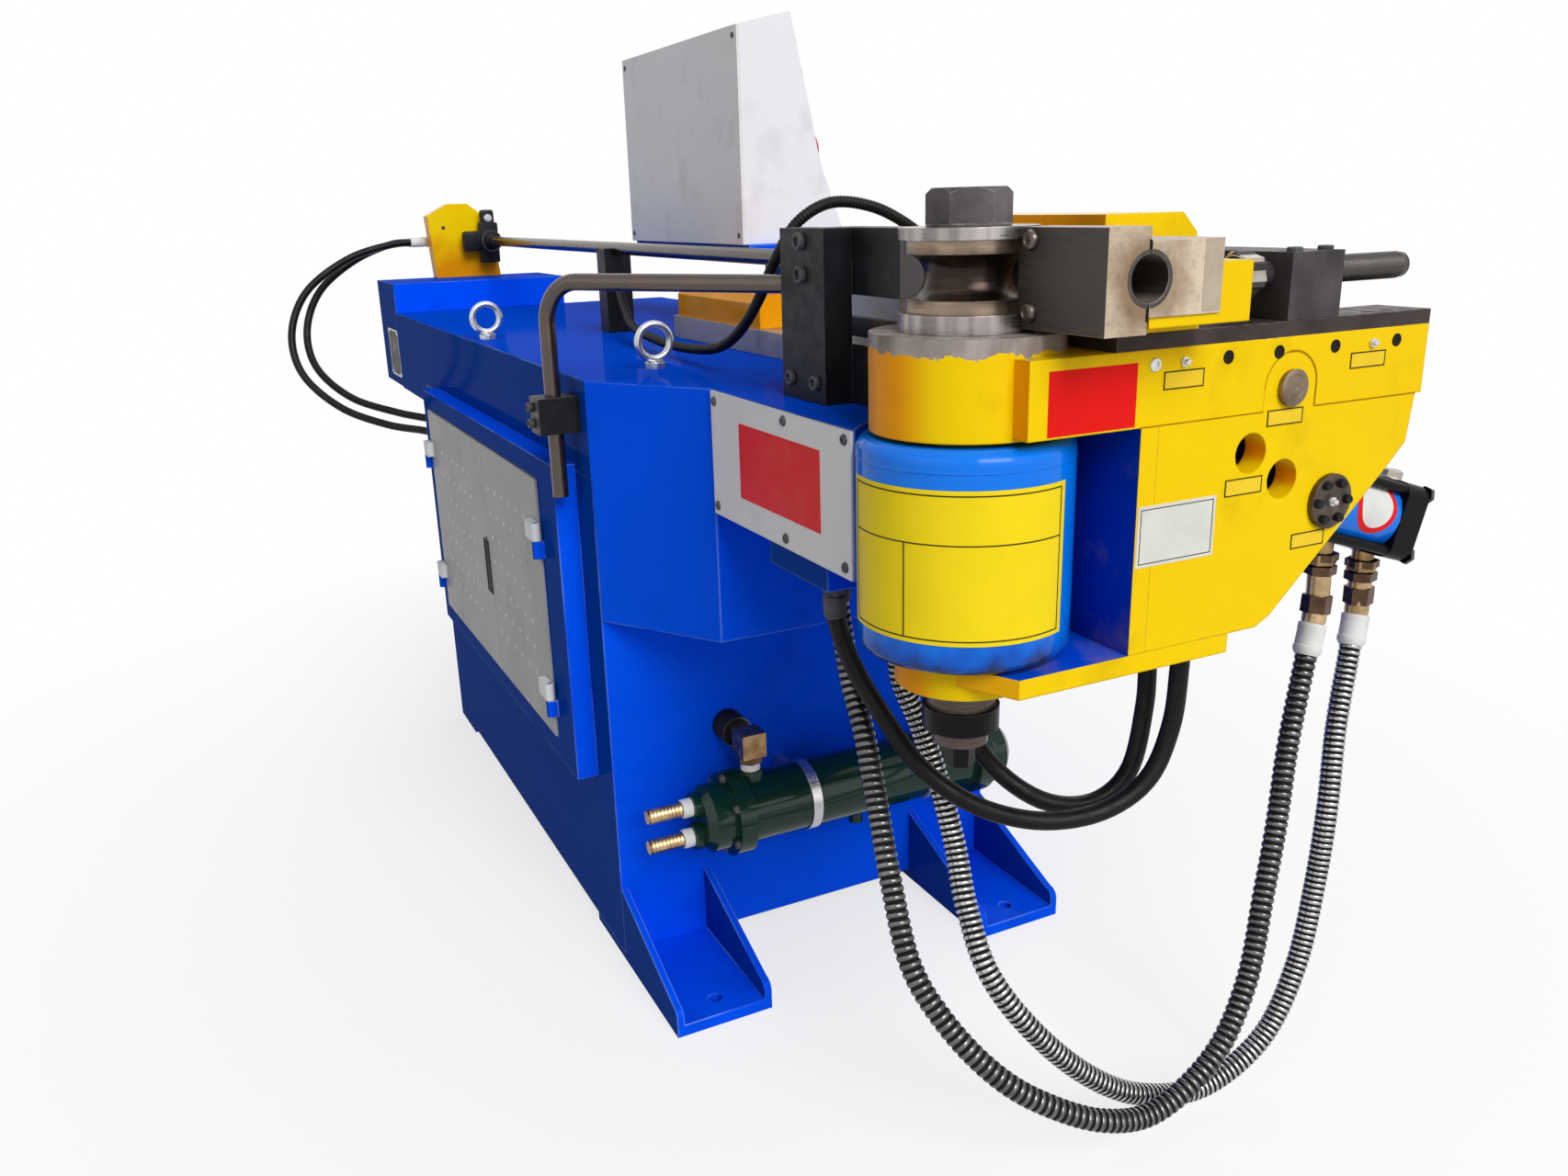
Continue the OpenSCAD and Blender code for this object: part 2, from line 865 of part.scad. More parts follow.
module door_rear() {
    color(grey) machine() difference() {
        door(-doors_rear, -door_split - door_gap / 2);
        block([-door_split - pull_in, -bed_left - frame_t - door_t, (doors_bot + doors_top - pull_h) / 2],
            [-door_split - pull_in + pull_w, -bed_left, (doors_bot + doors_top + pull_h) / 2]);
    }
}

module door_front() {
    color(grey) machine() door(-doors_front, -door_split + door_gap / 2);
}

// Spindle

module spindle_housing() {
    steps = 6;
    low = [for (k = [0 : steps]) [drum_d / 2 - drum_edge + drum_edge * sin(90 * k / steps),
        drum_bot + drum_edge - drum_edge * cos(90 * k / steps)]];
    high = [for (k = [0 : steps]) [drum_d / 2 - drum_edge + drum_edge * cos(90 * k / steps),
        drum_top - drum_edge + drum_edge * sin(90 * k / steps)]];
    color(blue) machine() difference() {
        rotate_extrude()
            polygon(concat([[0, drum_bot]], low, high, [[0, drum_top]]));
        upright(shaft_d + 2 * bush_t, drum_bot - cut, drum_top + cut);
    }
}

module spindle_bushes() {
    color(brass) machine()
        for (z = [drum_bot, drum_top - bush_h])
            difference() {
                upright(shaft_d + 2 * bush_t, z, z + bush_h);
                upright(shaft_d + 2 * run_fit, z - cut, z + bush_h + cut);
            }
}

module spindle_shaft() {
    color(steel) machine() difference() {
        union() {
            upright(shaft_d, boss_bot, hub_top);
            upright(neck_d, hub_top, ring_top - neck_short);
            upright(thread_d, boss_bot - thread_len, boss_bot);
        }
        upright(bolt_shank_d + 2 * run_fit, ring_top - bolt_depth, ring_top);
    }
}

module lock_collar() {
    nut_bot = boss_bot - nut_h;
    collar_bot = nut_bot - collar_h;
    washer_bot = collar_bot - washer_h;
    color(black) machine() {
        difference() {
            union() {
                upright(nut_d, nut_bot, boss_bot);
                upright(collar_d, collar_bot, nut_bot);
            }
            upright(thread_d + 2 * run_fit, collar_bot - cut, boss_bot + cut);
        }
        upright(washer_d, washer_bot, collar_bot);
        translate([0, 0, washer_bot - end_hex_h])
            hexagon(end_hex_af, end_hex_h);
    }
}

module bend_die() {
    color(steel) machine() difference() {
        upright(2 * die_r, die_bot, die_top);
        translate([0, 0, tube_z])
            rotate_extrude()
                translate([bend_r, 0])
                    circle(d = tube_d);
        upright(neck_d + 2 * run_fit, die_bot - cut, die_top + cut);
    }
}

module die_rings() {
    color(steel) machine() difference() {
        union() {
            upright(ring_d, hub_top, die_bot);
            upright(ring_d, die_top, ring_top);
        }
        upright(neck_d + 2 * run_fit, hub_top - cut, ring_top + cut);
    }
}

module die_bolt() {
    color(black) machine() {
        upright(bolt_shank_d, ring_top - bolt_depth + cut, ring_top);
        upright(bolt_washer_d, ring_top, ring_top + bolt_washer_h);
        translate([0, 0, ring_top + bolt_washer_h])
            intersection() {
                hexagon(bolt_af, bolt_h);
                cylinder(d1 = bolt_af + 2 * bolt_h, d2 = bolt_af, h = bolt_h);
            }
    }
}

// Swing arm

module tab_outline(grow) {
    translate([pivot_y, pivot_z])
        circle(r = tab_r + grow);
    translate([pivot_y - tab_r - grow, block_bot - cut])
        square([2 * (tab_r + grow), pivot_z - block_bot + cut]);
}

module arm_upper() {
    color(yellow) machine() difference() {
        union() {
            upright(hub_d, hub_bot, hub_top);
            block([-arm_w / 2, -block_tail, block_bot], [arm_w / 2, arm_len, block_top]);
        }
        upright(shaft_d + 2 * run_fit, hub_bot - cut, hub_top + cut);
        block([-lever_slot_w / 2, lever_slot_y0, block_bot - cut],
            [lever_slot_w / 2, lever_slot_y1, block_top + cut]);
        yz_plate(arm_w / 2 - cheek_t, arm_w / 2 + cut)
            tab_outline(run_fit);
        yz_plate(-arm_w / 2 - cut, -arm_w / 2 + cheek_t)
            tab_outline(run_fit);
        translate([0, pivot_y, pivot_z])
            along_x(pin_d + 2 * run_fit, -arm_w, arm_w);
    }
}

module cheek_outline() {
    polygon([
        [web_y + web_t, lower_top], [cheek_corner_y, lower_top], [cheek_low_y, lower_top + cheek_low_rise],
        [cheek_slope_y, lower_top + cheek_slope_rise], [cheek_knee_y, lower_top + cheek_knee_rise],
        [cheek_out_y, block_bot], [web_y + web_t, block_bot]
    ]);
    tab_outline(0);
}

module arm_cheeks() {
    color(yellow) machine()
        for (x = [-arm_w / 2, arm_w / 2 - cheek_t])
            difference() {
                yz_plate(x, x + cheek_t)
                    cheek_outline();
                for (hole = [cheek_hole_a, cheek_hole_b])
                    translate([0, hole[0], block_bot + hole[1]])
                        along_x(cheek_hole_d, x - cut, x + cheek_t + cut);
                translate([0, pivot_y, pivot_z])
                    along_x(pin_d + 2 * run_fit, x - cut, x + cheek_t + cut);
                translate([0, trunnion_y, trunnion_z])
                    along_x(trunnion_d + 2 * run_fit, x - cut, x + cheek_t + cut);
            }
}

module arm_web() {
    color(yellow) machine()
        block([-arm_w / 2, web_y, lower_top], [arm_w / 2, web_y + web_t, block_bot]);
}

module arm_lower() {
    tail = 40;
    narrow = 50;
    color(yellow) machine() difference() {
        union() {
            translate([0, 0, lower_bot])
                linear_extrude(lower_t)
                    polygon([[arm_w / 2, -block_tail], [arm_w / 2, lower_len], [-arm_w / 2, lower_len],
                        [-arm_w / 2, -block_tail], [-narrow, -tail], [narrow, -tail]]);
            upright(boss_d, boss_bot, lower_top);
        }
        upright(shaft_d + 2 * run_fit, boss_bot - cut, lower_top + cut);
    }
}

module arm_rails() {
    color(black) machine()
        for (side = [-1, 1])
            translate([0, 0, block_top])
                linear_extrude(rail_h)
                    polygon([[side * rail_slot / 2, rail_y], [side * arm_w / 2, rail_y],
                        [side * arm_w / 2, arm_len], [side * rail_slot / 2, arm_len]]);
}

module arm_pins() {
    bolt_ring_share = 0.36;
    color(steel) machine() {
        translate([0, pivot_y, pivot_z]) {
            along_x(pin_d, -arm_w / 2, arm_w / 2);
            along_x(pin_cap_d, arm_w / 2, arm_w / 2 + pin_cap_h);
        }
        translate([0, trunnion_y, trunnion_z])
            for (side = [-1, 1]) {
                from = side * cap_size / 2;
                along_x(trunnion_d, min(from, side * arm_w / 2), max(from, side * arm_w / 2));
                along_x(trunnion_cap_d, min(side * arm_w / 2, side * (arm_w / 2 + pin_cap_h)),
                    max(side * arm_w / 2, side * (arm_w / 2 + pin_cap_h)));
                for (k = [0 : 5])
                    rotate([60 * k, 0, 0])
                        translate([0, bolt_ring_share * trunnion_cap_d, 0])
                            along_x(pin_cap_h, side > 0 ? arm_w / 2 + pin_cap_h : -arm_w / 2 - 2 * pin_cap_h,
                                side > 0 ? arm_w / 2 + 2 * pin_cap_h : -arm_w / 2 - pin_cap_h);
            }
    }
}

module arm_manifold() {
    color(black) machine()
        block([-arm_block_x, web_y + web_t, arm_block_bot],
            [arm_block_x, arm_block_y, arm_block_bot + arm_block_h]);
}

// Clamp

module tube_cut() {
    translate([0, bend_r, tube_z])
        along_x(tube_d, clamp_x - cut, clamp_x + clamp_len + cut);
}

module grip_block() {
    color(steel) machine() {
        difference() {
            block([clamp_x, grip_in, clamp_bot],
                [clamp_x + clamp_len, bend_r - rest_gap, clamp_bot + clamp_h]);
            upright(2 * die_r, die_bot - cut, die_top + cut);
            upright(ring_d, clamp_bot - cut, die_bot);
            upright(ring_d, die_top, clamp_bot + clamp_h + cut);
            tube_cut();
        }
        for (z = [clamp_bot + grip_bolt_d, clamp_bot + clamp_h - grip_bolt_d * 3 / 4])
            translate([grip_bolt_x, 0, z])
                along_y(grip_bolt_d, grip_in - grip_bolt_h, grip_in);
    }
}

module clamp_die() {
    color(steel) machine() difference() {
        block([clamp_x, bend_r + rest_gap, clamp_seat],
            [clamp_x + clamp_len, bend_r + rest_gap + clamp_t, clamp_bot + clamp_h]);
        tube_cut();
    }
}

module clamp_slide() {
    back = bend_r + rest_gap + clamp_t;
    front = clamp_x + clamp_len - slide_inset;
    color(yellow) machine() {
        difference() {
            union() {
                block([slide_pad_x, slide_pad_y, rail_top + slide_fit], [front, slide_reach, clamp_seat]);
                block([-slide_tail, rail_y + clamp_bot - rail_top, rail_top + slide_fit],
                    [front, slide_reach, clamp_bot]);
                block([clamp_x, rail_y + clamp_bot - rail_top, rail_top + slide_fit],
                    [front, slide_reach, clamp_seat]);
                block([clamp_x, back, clamp_bot], [front, slide_reach, clamp_bot + upright_h]);
            }
            upright(hub_d + 2 * face_gap, rail_top, clamp_seat + cut);
            block([arm_w / 2, slide_pad_y - cut, rail_top],
                [front + cut, slide_reach + cut, clamp_bot + slide_lip]);
            translate([screw_x, 0, screw_z])
                along_y(screw_d + 2 * run_fit, back + cut, slide_reach + cut);
        }
    }
}

module screw_block() {
    lug_in = lever_tip_r + lug_play;
    color(black) machine() difference() {
        union() {
            block([-slide_tail, screw_block_y, rail_top + slide_fit],
                [arm_w / 2, screw_block_y + screw_block_t, rail_top + slide_fit + screw_block_h]);
            block([-lug_w / 2, pivot_y - lug_in - lug_wall, rail_top - lug_drop],
                [lug_w / 2, pivot_y + lug_in + lug_wall, rail_top + slide_fit]);
            block([-slide_tail, pivot_y - lug_in - lug_wall, rail_top + slide_fit],
                [slide_tail, screw_block_y, rail_top + slide_fit + lug_plate_h]);
        }
        block([-lug_w / 2 - cut, pivot_y - lug_in, rail_top - lug_drop - cut],
            [lug_w / 2 + cut, pivot_y + lug_in, rail_top + lug_roof]);
        translate([screw_x, 0, screw_z])
            along_y(screw_d + 2 * run_fit, screw_block_y - cut, screw_block_y + screw_block_t + cut);
    }
}

module adjusting_screw() {
    back = bend_r + rest_gap + clamp_t;
    color(black) machine()
        translate([screw_x, 0, screw_z]) {
            along_y(screw_d, back + 2 * cut, screw_end);
            translate([0, screw_nut_y, 0])
                rotate([-90, 30, 0])
                    hexagon(screw_nut_af, screw_nut_t);
        }
}

module toggle_lever() {
    color(black) machine() difference() {
        yz_plate(-lever_t / 2, lever_t / 2) {
            translate([pivot_y, pivot_z])
                circle(r = lever_mid_r);
            translate([pivot_y, pivot_z + lever_up])
                circle(r = lever_tip_r);
            translate([pivot_y - lever_neck_w / 2, pivot_z])
                square([lever_neck_w, lever_up]);
            translate([pivot_y, pivot_z - lever_down])
                circle(r = lever_low_r);
            translate([pivot_y - lever_tip_r, pivot_z - lever_down])
                square([2 * lever_tip_r, lever_down]);
        }
        translate([0, pivot_y, pivot_z])
            along_x(pin_d + 2 * run_fit, -lever_t, lever_t);
        translate([0, pivot_y, pivot_z - lever_down])
            along_x(link_hole_d, -lever_t, lever_t);
    }
}

// Frame of the tilted cylinder: +Y runs outward along its axis from the trunnion
module cylinder_frame() {
    translate([0, trunnion_y, trunnion_z])
        rotate([-cylinder_tilt, 0, 0])
            children();
}

module cylinder_end() {
    translate([0, barrel_to + cap_len, 0])
        rotate([90, 0, 0])
            linear_extrude(cap_len)
                offset(r = end_cap_round)
                    square(end_cap - 2 * end_cap_round, center = true);
}

module clamp_cylinder() {
    color(blue) machine() cylinder_frame() difference() {
        union() {
            along_y(cylinder_d, -head_from, barrel_to);
            block([-cap_size / 2, -head_from, -cap_size / 2],
                [cap_size / 2, head_len - head_from, cap_size / 2]);
            cylinder_end();
            for (x = [-1, 1])
                for (z = [-1, 1])
                    translate([x * tie_at, 0, z * tie_at])
                        along_y(tie_d, -head_from, barrel_to + cap_len + tie_d / 2);
        }
        along_y(piston_d + 2 * run_fit, -head_from - cut, piston_bore);
    }
}

module clamp_rod() {
    color(steel) machine() cylinder_frame() {
        along_y(piston_d, -fork_to, piston_in);
        for (side = [-1, 1])
            block([min(side * fork_w / 2, side * (lever_t / 2 + fork_gap)), -fork_from, -fork_h / 2],
                [max(side * fork_w / 2, side * (lever_t / 2 + fork_gap)), -fork_to, fork_h / 2]);
        block([-fork_w / 2, -fork_to, -fork_h / 2], [fork_w / 2, -fork_to + fork_gap * 4, fork_h / 2]);
        translate([0, -(trunnion_y - pivot_y) / cos(cylinder_tilt), 0])
            along_x(link_pin_d, -fork_w / 2, fork_w / 2);
    }
}

module cylinder_fittings() {
    color(brass) machine()
        for (end = [armour_end_a, armour_end_b])
            difference() {
                translate(end) {
                    cylinder(d = fitting_d, h = 3 * fitting_d);
                    translate([0, 0, fitting_d / 2])
                        hexagon(fitting_d * 5 / 4, fitting_d / 2);
                }
                cylinder_frame() {
                    along_y(cylinder_d, -head_from, barrel_to);
                    cylinder_end();
                }
            }
}

// Wiper die

module brace_shape(d) {
    run = norm([brace_foot_x - column_x, brace_foot_y - brace_y]);
    turn = atan2(brace_y - brace_foot_y, column_x - brace_foot_x);
    translate([-column_x, -brace_y, brace_z])
        rotate([0, 0, turn]) {
            along_x(d, -brace_hold, run - brace_bend_r);
            translate([run - brace_bend_r, 0, -brace_bend_r])
                rotate([90, 0, 0])
                    rotate_extrude(angle = 90)
                        translate([brace_bend_r, 0])
                            circle(d = d);
            translate([run, 0, 0])
                upright(d, brace_end_z - brace_z, -brace_bend_r);
        }
}

module wiper_column() {
    front = -column_x + column_l;
    color(black) machine() difference() {
        union() {
            block([-column_x, -column_y, bed_top], [front, -wiper_in, column_top]);
            block([-column_x, -wiper_in, bed_top],
                [-column_x + column_base_l, wiper_y, bed_top + column_base_h]);
            block([-wiper_arm_x, -wiper_in, column_top - wiper_h], [-wiper_die_x, wiper_y, column_top]);
        }
        brace_shape(brace_d);
    }
}

module wiper_die() {
    low = die_bot + die_clear;
    high = die_top - die_clear;
    color(steel) machine() difference() {
        block([-wiper_die_x, -wiper_in, low], [-wiper_tip, bend_r - rest_gap, high]);
        upright(2 * (die_r + die_clear), low - cut, high + cut);
        translate([0, bend_r, tube_z])
            along_x(tube_d + 2 * groove_clear, -wiper_die_x - cut, cut);
    }
}

module brace_rod() {
    color(steel) machine() brace_shape(brace_d);
}

module rod_clamps() {
    color(black) machine() {
        difference() {
            block([-brace_foot_x - clamp_block_w / 2, -bed_left - clamp_block_t, clamp_block_z],
                [-brace_foot_x + clamp_block_w / 2, -bed_left, clamp_block_z + clamp_block_h]);
            translate([-brace_foot_x, -brace_foot_y, 0])
                upright(brace_d, clamp_block_z - cut, clamp_block_z + clamp_block_h + cut);
        }
        difference() {
            block([-steady_x - steady_w / 2, bend_r - steady_l / 2, bed_top],
                [-steady_x + steady_w / 2, bend_r + steady_l / 2, tube_z]);
            translate([0, bend_r, tube_z])
                along_x(rod_d + 2 * slide_fit, -steady_x - steady_w, -steady_x + steady_w);
        }
    }
}

module eye_bolts() {
    color(grey) machine()
        for (p = eye_places)
            translate([p[0], p[1], bed_top]) {
                upright(eye_base_d, 0, eye_base_h);
                upright(2 * eye_wire, eye_base_h, eye_neck);
                translate([0, 0, eye_neck + eye_r])
                    rotate([90, 0, 90])
                        rotate_extrude()
                            translate([eye_r, 0])
                                circle(r = eye_wire);
            }
}

// Pressure die

module pressure_bed() {
    color(steel) machine()
        block([-press_bed_rear, press_bed_y0, bed_top],
            [-press_bed_front, press_bed_y1, bed_top + press_bed_h]);
}

module pressure_block() {
    low = bed_top + press_bed_h;
    color(yellow) machine()
        translate([-guide_rear, 0, low])
            rotate([90, 0, 90])
                linear_extrude(guide_rear - guide_front)
                    polygon([
                        [press_bed_y0 + guide_inset, 0], [press_bed_y1 - guide_inset, 0],
                        [press_bed_y1 - guide_inset, guide_h - guide_r],
                        [press_bed_y1 - guide_inset - guide_r, guide_h],
                        [press_bed_y0 + guide_inset + guide_r, guide_h],
                        [press_bed_y0 + guide_inset, guide_h - guide_r]
                    ]);
}

module pressure_holder() {
    low = tube_z - press_under;
    high = tube_z + press_over;
    seat = bed_top + press_bed_h + slide_fit;
    color(yellow) machine() {
        yz_plate(-press_top_rear, press_front)
            polygon([[press_y0, low], [press_y1, low], [press_y1, high - press_chamfer],
                [press_y1 - press_chamfer, high], [press_y0, high]]);
        block([-press_rear, press_y0, seat], [-press_foot_front, press_y1, low]);
        translate([-press_cyl_x, 0, press_cyl_z])
            along_y(press_rod_d, press_y1, press_cyl_y0 + press_rod_in);
    }
}

module pressure_die() {
    color(steel) machine() difference() {
        block([-press_die_rear, bend_r + rest_gap, tube_z - press_die_h / 2],
            [-press_die_tip, press_y0, tube_z + press_die_h / 2]);
        translate([0, bend_r, tube_z])
            along_x(tube_d, -press_die_rear - cut, cut);
    }
}

module pressure_cylinder() {
    color(blue) machine() difference() {
        union() {
            block([-press_cyl_x - press_lug_w / 2, press_cyl_y0 - press_lug_t, bed_top],
                [-press_cyl_x + press_lug_w / 2, press_cyl_y0, bed_top + press_lug_h]);
            translate([-press_cyl_x, 0, press_cyl_z])
                along_y(press_cyl_d, press_cyl_y0, press_cyl_y1);
        }
        translate([-press_cyl_x, 0, press_cyl_z])
            along_y(press_rod_d + 2 * run_fit, press_cyl_y0 - press_lug_t - cut,
                press_cyl_y0 + press_rod_in + press_travel + cut);
    }
}

// Mandrel

module mandrel_bracket() {
    color(yellow) machine() difference() {
        yz_plate(-bracket_x - bracket_t, -bracket_x)
            polygon([[bend_r - bracket_left, rear_box_top], [bend_r + bracket_right, rear_box_top],
                [bend_r + bracket_shoulder, tube_z + bracket_right_up],
                [bend_r - bracket_flat[1], tube_z + bracket_top_up],
                [bend_r - bracket_flat[0], tube_z + bracket_top_up],
                [bend_r - bracket_left - bracket_lean, tube_z + bracket_left_up]]);
        translate([0, bend_r, tube_z])
            along_x(rod_d + 2 * run_fit, -bracket_x - bracket_t - cut, -bracket_x + cut);
    }
}

module mandrel_cylinder() {
    rear = -bracket_x - bracket_t;
    color(black) machine() difference() {
        union() {
            translate([0, bend_r, tube_z])
                along_x(mandrel_cyl_d, rear - mandrel_cyl_l, rear);
            for (x = mandrel_port_x)
                translate([-bracket_x - x, 0, tube_z])
                    along_y(mandrel_port_d, mandrel_port_y, bend_r);
        }
        translate([0, bend_r, tube_z])
            along_x(rod_d + 2 * run_fit, rear - mandrel_bore - mandrel_travel, rear + cut);
    }
}

module mandrel_rod() {
    rear = -bracket_x - bracket_t;
    tip = -mandrel_tip - mandrel_travel - mandrel_d / 2;
    color(steel) machine() translate([0, bend_r, tube_z]) {
        along_x(rod_d, rear - mandrel_bore - mandrel_travel + cut, -mandrel_rear - mandrel_travel);
        along_x(mandrel_d, -mandrel_rear - mandrel_travel, tip);
        translate([tip, 0, 0])
            intersection() {
                sphere(d = mandrel_d);
                along_x(2 * mandrel_d, 0, mandrel_d);
            }
        translate([-bracket_x + knuckle_gap, 0, 0]) {
            along_x(knuckle_d, 0, knuckle_l);
            block([0, -knuckle_ear_w / 2, -knuckle_ear_h / 2],
                [knuckle_l / 2, knuckle_ear_w / 2, knuckle_ear_h]);
            block([0, -knuckle_ear_h * 2 / 3, -knuckle_ear_w / 2], [knuckle_l / 2, 0, knuckle_ear_w / 2]);
        }
    }
}

// Console

module console_outline(inset) {
    top = console_bot + console_h;
    knee_z = console_bot + console_knee_share * console_h;
    polygon([
        [console_y + inset, console_bot + inset], [console_y + inset, top - inset],
        [console_y + console_depth_top - inset, top + console_top_rise - inset],
        [console_y + console_knee_depth - inset, knee_z],
        [console_y + console_lip_depth - inset, console_bot + console_toe_rise + inset],
        [console_y + console_lip_depth - console_toe_rise - inset, console_bot + inset]
    ]);
}

module console_case() {
    color(grey) machine() difference() {
        yz_plate(-console_x - console_w, -console_x)
            console_outline(0);
        yz_plate(-console_x - console_w + sheet, -console_x - sheet)
            console_outline(sheet);
        block([-console_x - console_w + sheet, console_y - cut, console_bot + sheet],
            [-console_x - sheet, console_y + sheet + cut, console_bot + console_h - sheet]);
        stop_frame()
            upright(stop_stem_d + 2 * slide_fit, -stop_stem_l, stop_stem_l);
    }
}

module console_back() {
    color(grey) machine()
        block([-console_x - console_w, console_y - sheet, console_bot],
            [-console_x, console_y, console_bot + console_h]);
}

module console_stand() {
    color(blue) machine() {
        block([-console_x - console_w + stand_inset, console_y, console_bot - stand_h],
            [-console_x + stand_inset, console_y + console_lip_depth - stand_inset, console_bot]);
        block([-post_x - post_w, post_y, bed_top], [-post_x, post_y + post_w, console_bot - stand_h]);
    }
}

// Frame of the stop button: +Z stands square out of the operator's panel
module stop_frame() {
    top = console_bot + console_h + console_top_rise;
    knee_z = console_bot + console_knee_share * console_h;
    lean = atan2(console_knee_depth - console_depth_top, top - knee_z);
    translate([-stop_x, console_y + console_knee_depth, knee_z])
        rotate([lean - 90, 0, 0])
            translate([0, -stop_share * norm([console_knee_depth - console_depth_top, top - knee_z]), 0])
                children();
}

module e_stop() {
    color("red") machine() stop_frame() {
        upright(stop_stem_d, -stop_stem_l, stop_travel + stop_ring_h);
        upright(stop_head_d, stop_travel + stop_ring_h, stop_travel + stop_ring_h + stop_head_h);
    }
}

// Oil cooler

module at_cooler() {
    translate([-cooler_x, cooler_y, cooler_z])
        children();
}

module cooler_shell() {
    color("#1f3d2b") machine() at_cooler() difference() {
        union() {
            along_y(cooler_d, 0, cooler_len);
            for (y = [0, cooler_len - flange_t])
                along_y(flange_d, y, y + flange_t);
        }
        along_y(cooler_d - wall, -cut, cooler_len + cut);
    }
    color("#1f3d2b") machine() at_cooler()
        translate([0, drain_share * cooler_len, 0])
            upright(drain_d, -cooler_d / 2 - drain_l, -cooler_d / 2 + wall / 4);
}

module cooler_caps() {
    round_r = 10;
    face = flange_t + dome_l;
    color("#1f3d2b") machine() at_cooler() {
        for (side = [0, 1])
            translate([0, side * cooler_len, 0])
                rotate([side == 0 ? 90 : -90, 0, 0])
                    rotate_extrude()
                        polygon([[0, 0], [flange_d / 2, 0], [flange_d / 2, flange_t],
                            [cooler_d / 2, flange_t], [cooler_d / 2, face - round_r],
                            [cooler_d / 2 - round_r, face], [0, face]]);
        for (side = [-1, 1])
            translate([0, 0, side * barb_step / 2])
                along_y(boss_cap_d, -face - boss_cap_l, -face);
    }
}

module cooler_saddles() {
    color(steel) machine() at_cooler()
        for (share = saddle_shares)
            translate([0, share * cooler_len - saddle_w / 2, 0])
                difference() {
                    union() {
                        block([cooler_x - cabinet_front, 0, -saddle_h / 2], [0, saddle_w, saddle_h / 2]);
                        along_y(cooler_d + 2 * strap_t, 0, saddle_w);
                    }
                    along_y(cooler_d, -cut, saddle_w + cut);
                }
}

module cooler_fittings() {
    face = -flange_t - dome_l - boss_cap_l;
    color(brass) machine() {
        at_cooler()
            for (side = [-1, 1])
                translate([0, 0, side * barb_step / 2]) {
                    along_y(tape_d, face - tape_l, face);
                    along_y(barb_d, face - barb_l, face - tape_l);
                }
        difference() {
            translate([-cooler_x, elbow_y, 0])
                upright(elbow_d, cooler_z, elbow_z);
            at_cooler()
                along_y(cooler_d, -cut, cooler_len);
        }
        translate([-cooler_x - elbow_box / 2, elbow_y - elbow_box / 2, elbow_z - elbow_box / 2])
            cube(elbow_box);
        translate([0, elbow_y, elbow_z])
            along_x(elbow_d, -cabinet_front - wall, -cooler_x);
        translate([0, elbow_y, elbow_z])
            along_x(coupling_d, -cabinet_front, -cabinet_front + coupling_l);
    }
}

// Hoses and the blocks they end in

module hose_manifold() {
    color(black) machine()
        block([manifold_x0, manifold_y0, manifold_bot], [manifold_x1, manifold_y1, nose_bot]);
}

module pump_motor() {
    low = floor_gap + wall;
    axis_z = low + motor_r + 2 * motor_fin_h;
    color("#3c5a4a") machine() {
        translate([0, motor_y, axis_z]) {
            along_x(2 * motor_r, motor_x0, motor_x0 + motor_len);
            along_x(2 * motor_bell_r, motor_x0 + motor_len, motor_x0 + motor_len + motor_bell_l);
            for (k = [0 : motor_fins - 1])
                rotate([360 * k / motor_fins, 0, 0])
                    translate([motor_x0, -motor_fin_t / 2, 0])
                        cube([motor_len, motor_fin_t, motor_r + motor_fin_h]);
        }
        block([motor_x0, motor_y - motor_foot_w / 2, low],
            [motor_x0 + motor_len, motor_y + motor_foot_w / 2, axis_z - motor_r / 2]);
    }
}

module armoured_hose_a() {
    route = fitted(route_armour_a, [route_armour_a[0][0], route_armour_a[0][1], manifold_bot], armour_end_a);
    color(black) machine()
        ribbed_hose(route, armour_d, armour_bore, armour_rib, armour_ribs, [1, 0, 0]);
}

module armoured_hose_b() {
    route = fitted(route_armour_b, [route_armour_b[0][0], route_armour_b[0][1], manifold_bot], armour_end_b);
    color(black) machine()
        ribbed_hose(route, armour_d, armour_bore, armour_rib, armour_ribs, [1, 0, 0]);
}

module arm_hoses() {
    rings = 17;
    color(black) machine()
        for (route = [route_arm_a, route_arm_b]) {
            end = route[len(route) - 1];
            plain_hose(fitted(route, [route[0][0], route[0][1], manifold_bot],
                    [end[0], end[1], arm_block_bot]),
                arm_hose_d, rings, [1, -1, 0]);
        }
}

module mandrel_hoses() {
    rings = 20;
    routes = [route_mandrel_a, route_mandrel_b];
    color(black) machine()
        for (k = [0, 1]) {
            end = routes[k][len(routes[k]) - 1];
            plain_hose(fitted(routes[k], [-bracket_x - mandrel_port_x[k], mandrel_port_y, tube_z],
                    [-cabinet_rear, end[1], end[2]]),
                mandrel_hose_d, rings, [1, -1, 1]);
        }
}

module sensor_conduit() {
    rings = 28;
    start = route_conduit[0];
    color(black) machine()
        plain_hose(fitted(route_conduit, [-steady_x + steady_w / 2, start[1], start[2]],
                [-press_cyl_x - cable_side, press_cyl_y0 - press_lug_t,
                    bed_top + press_lug_h - cable_drop]),
            conduit_d, rings, [0, 1, 1]);
}

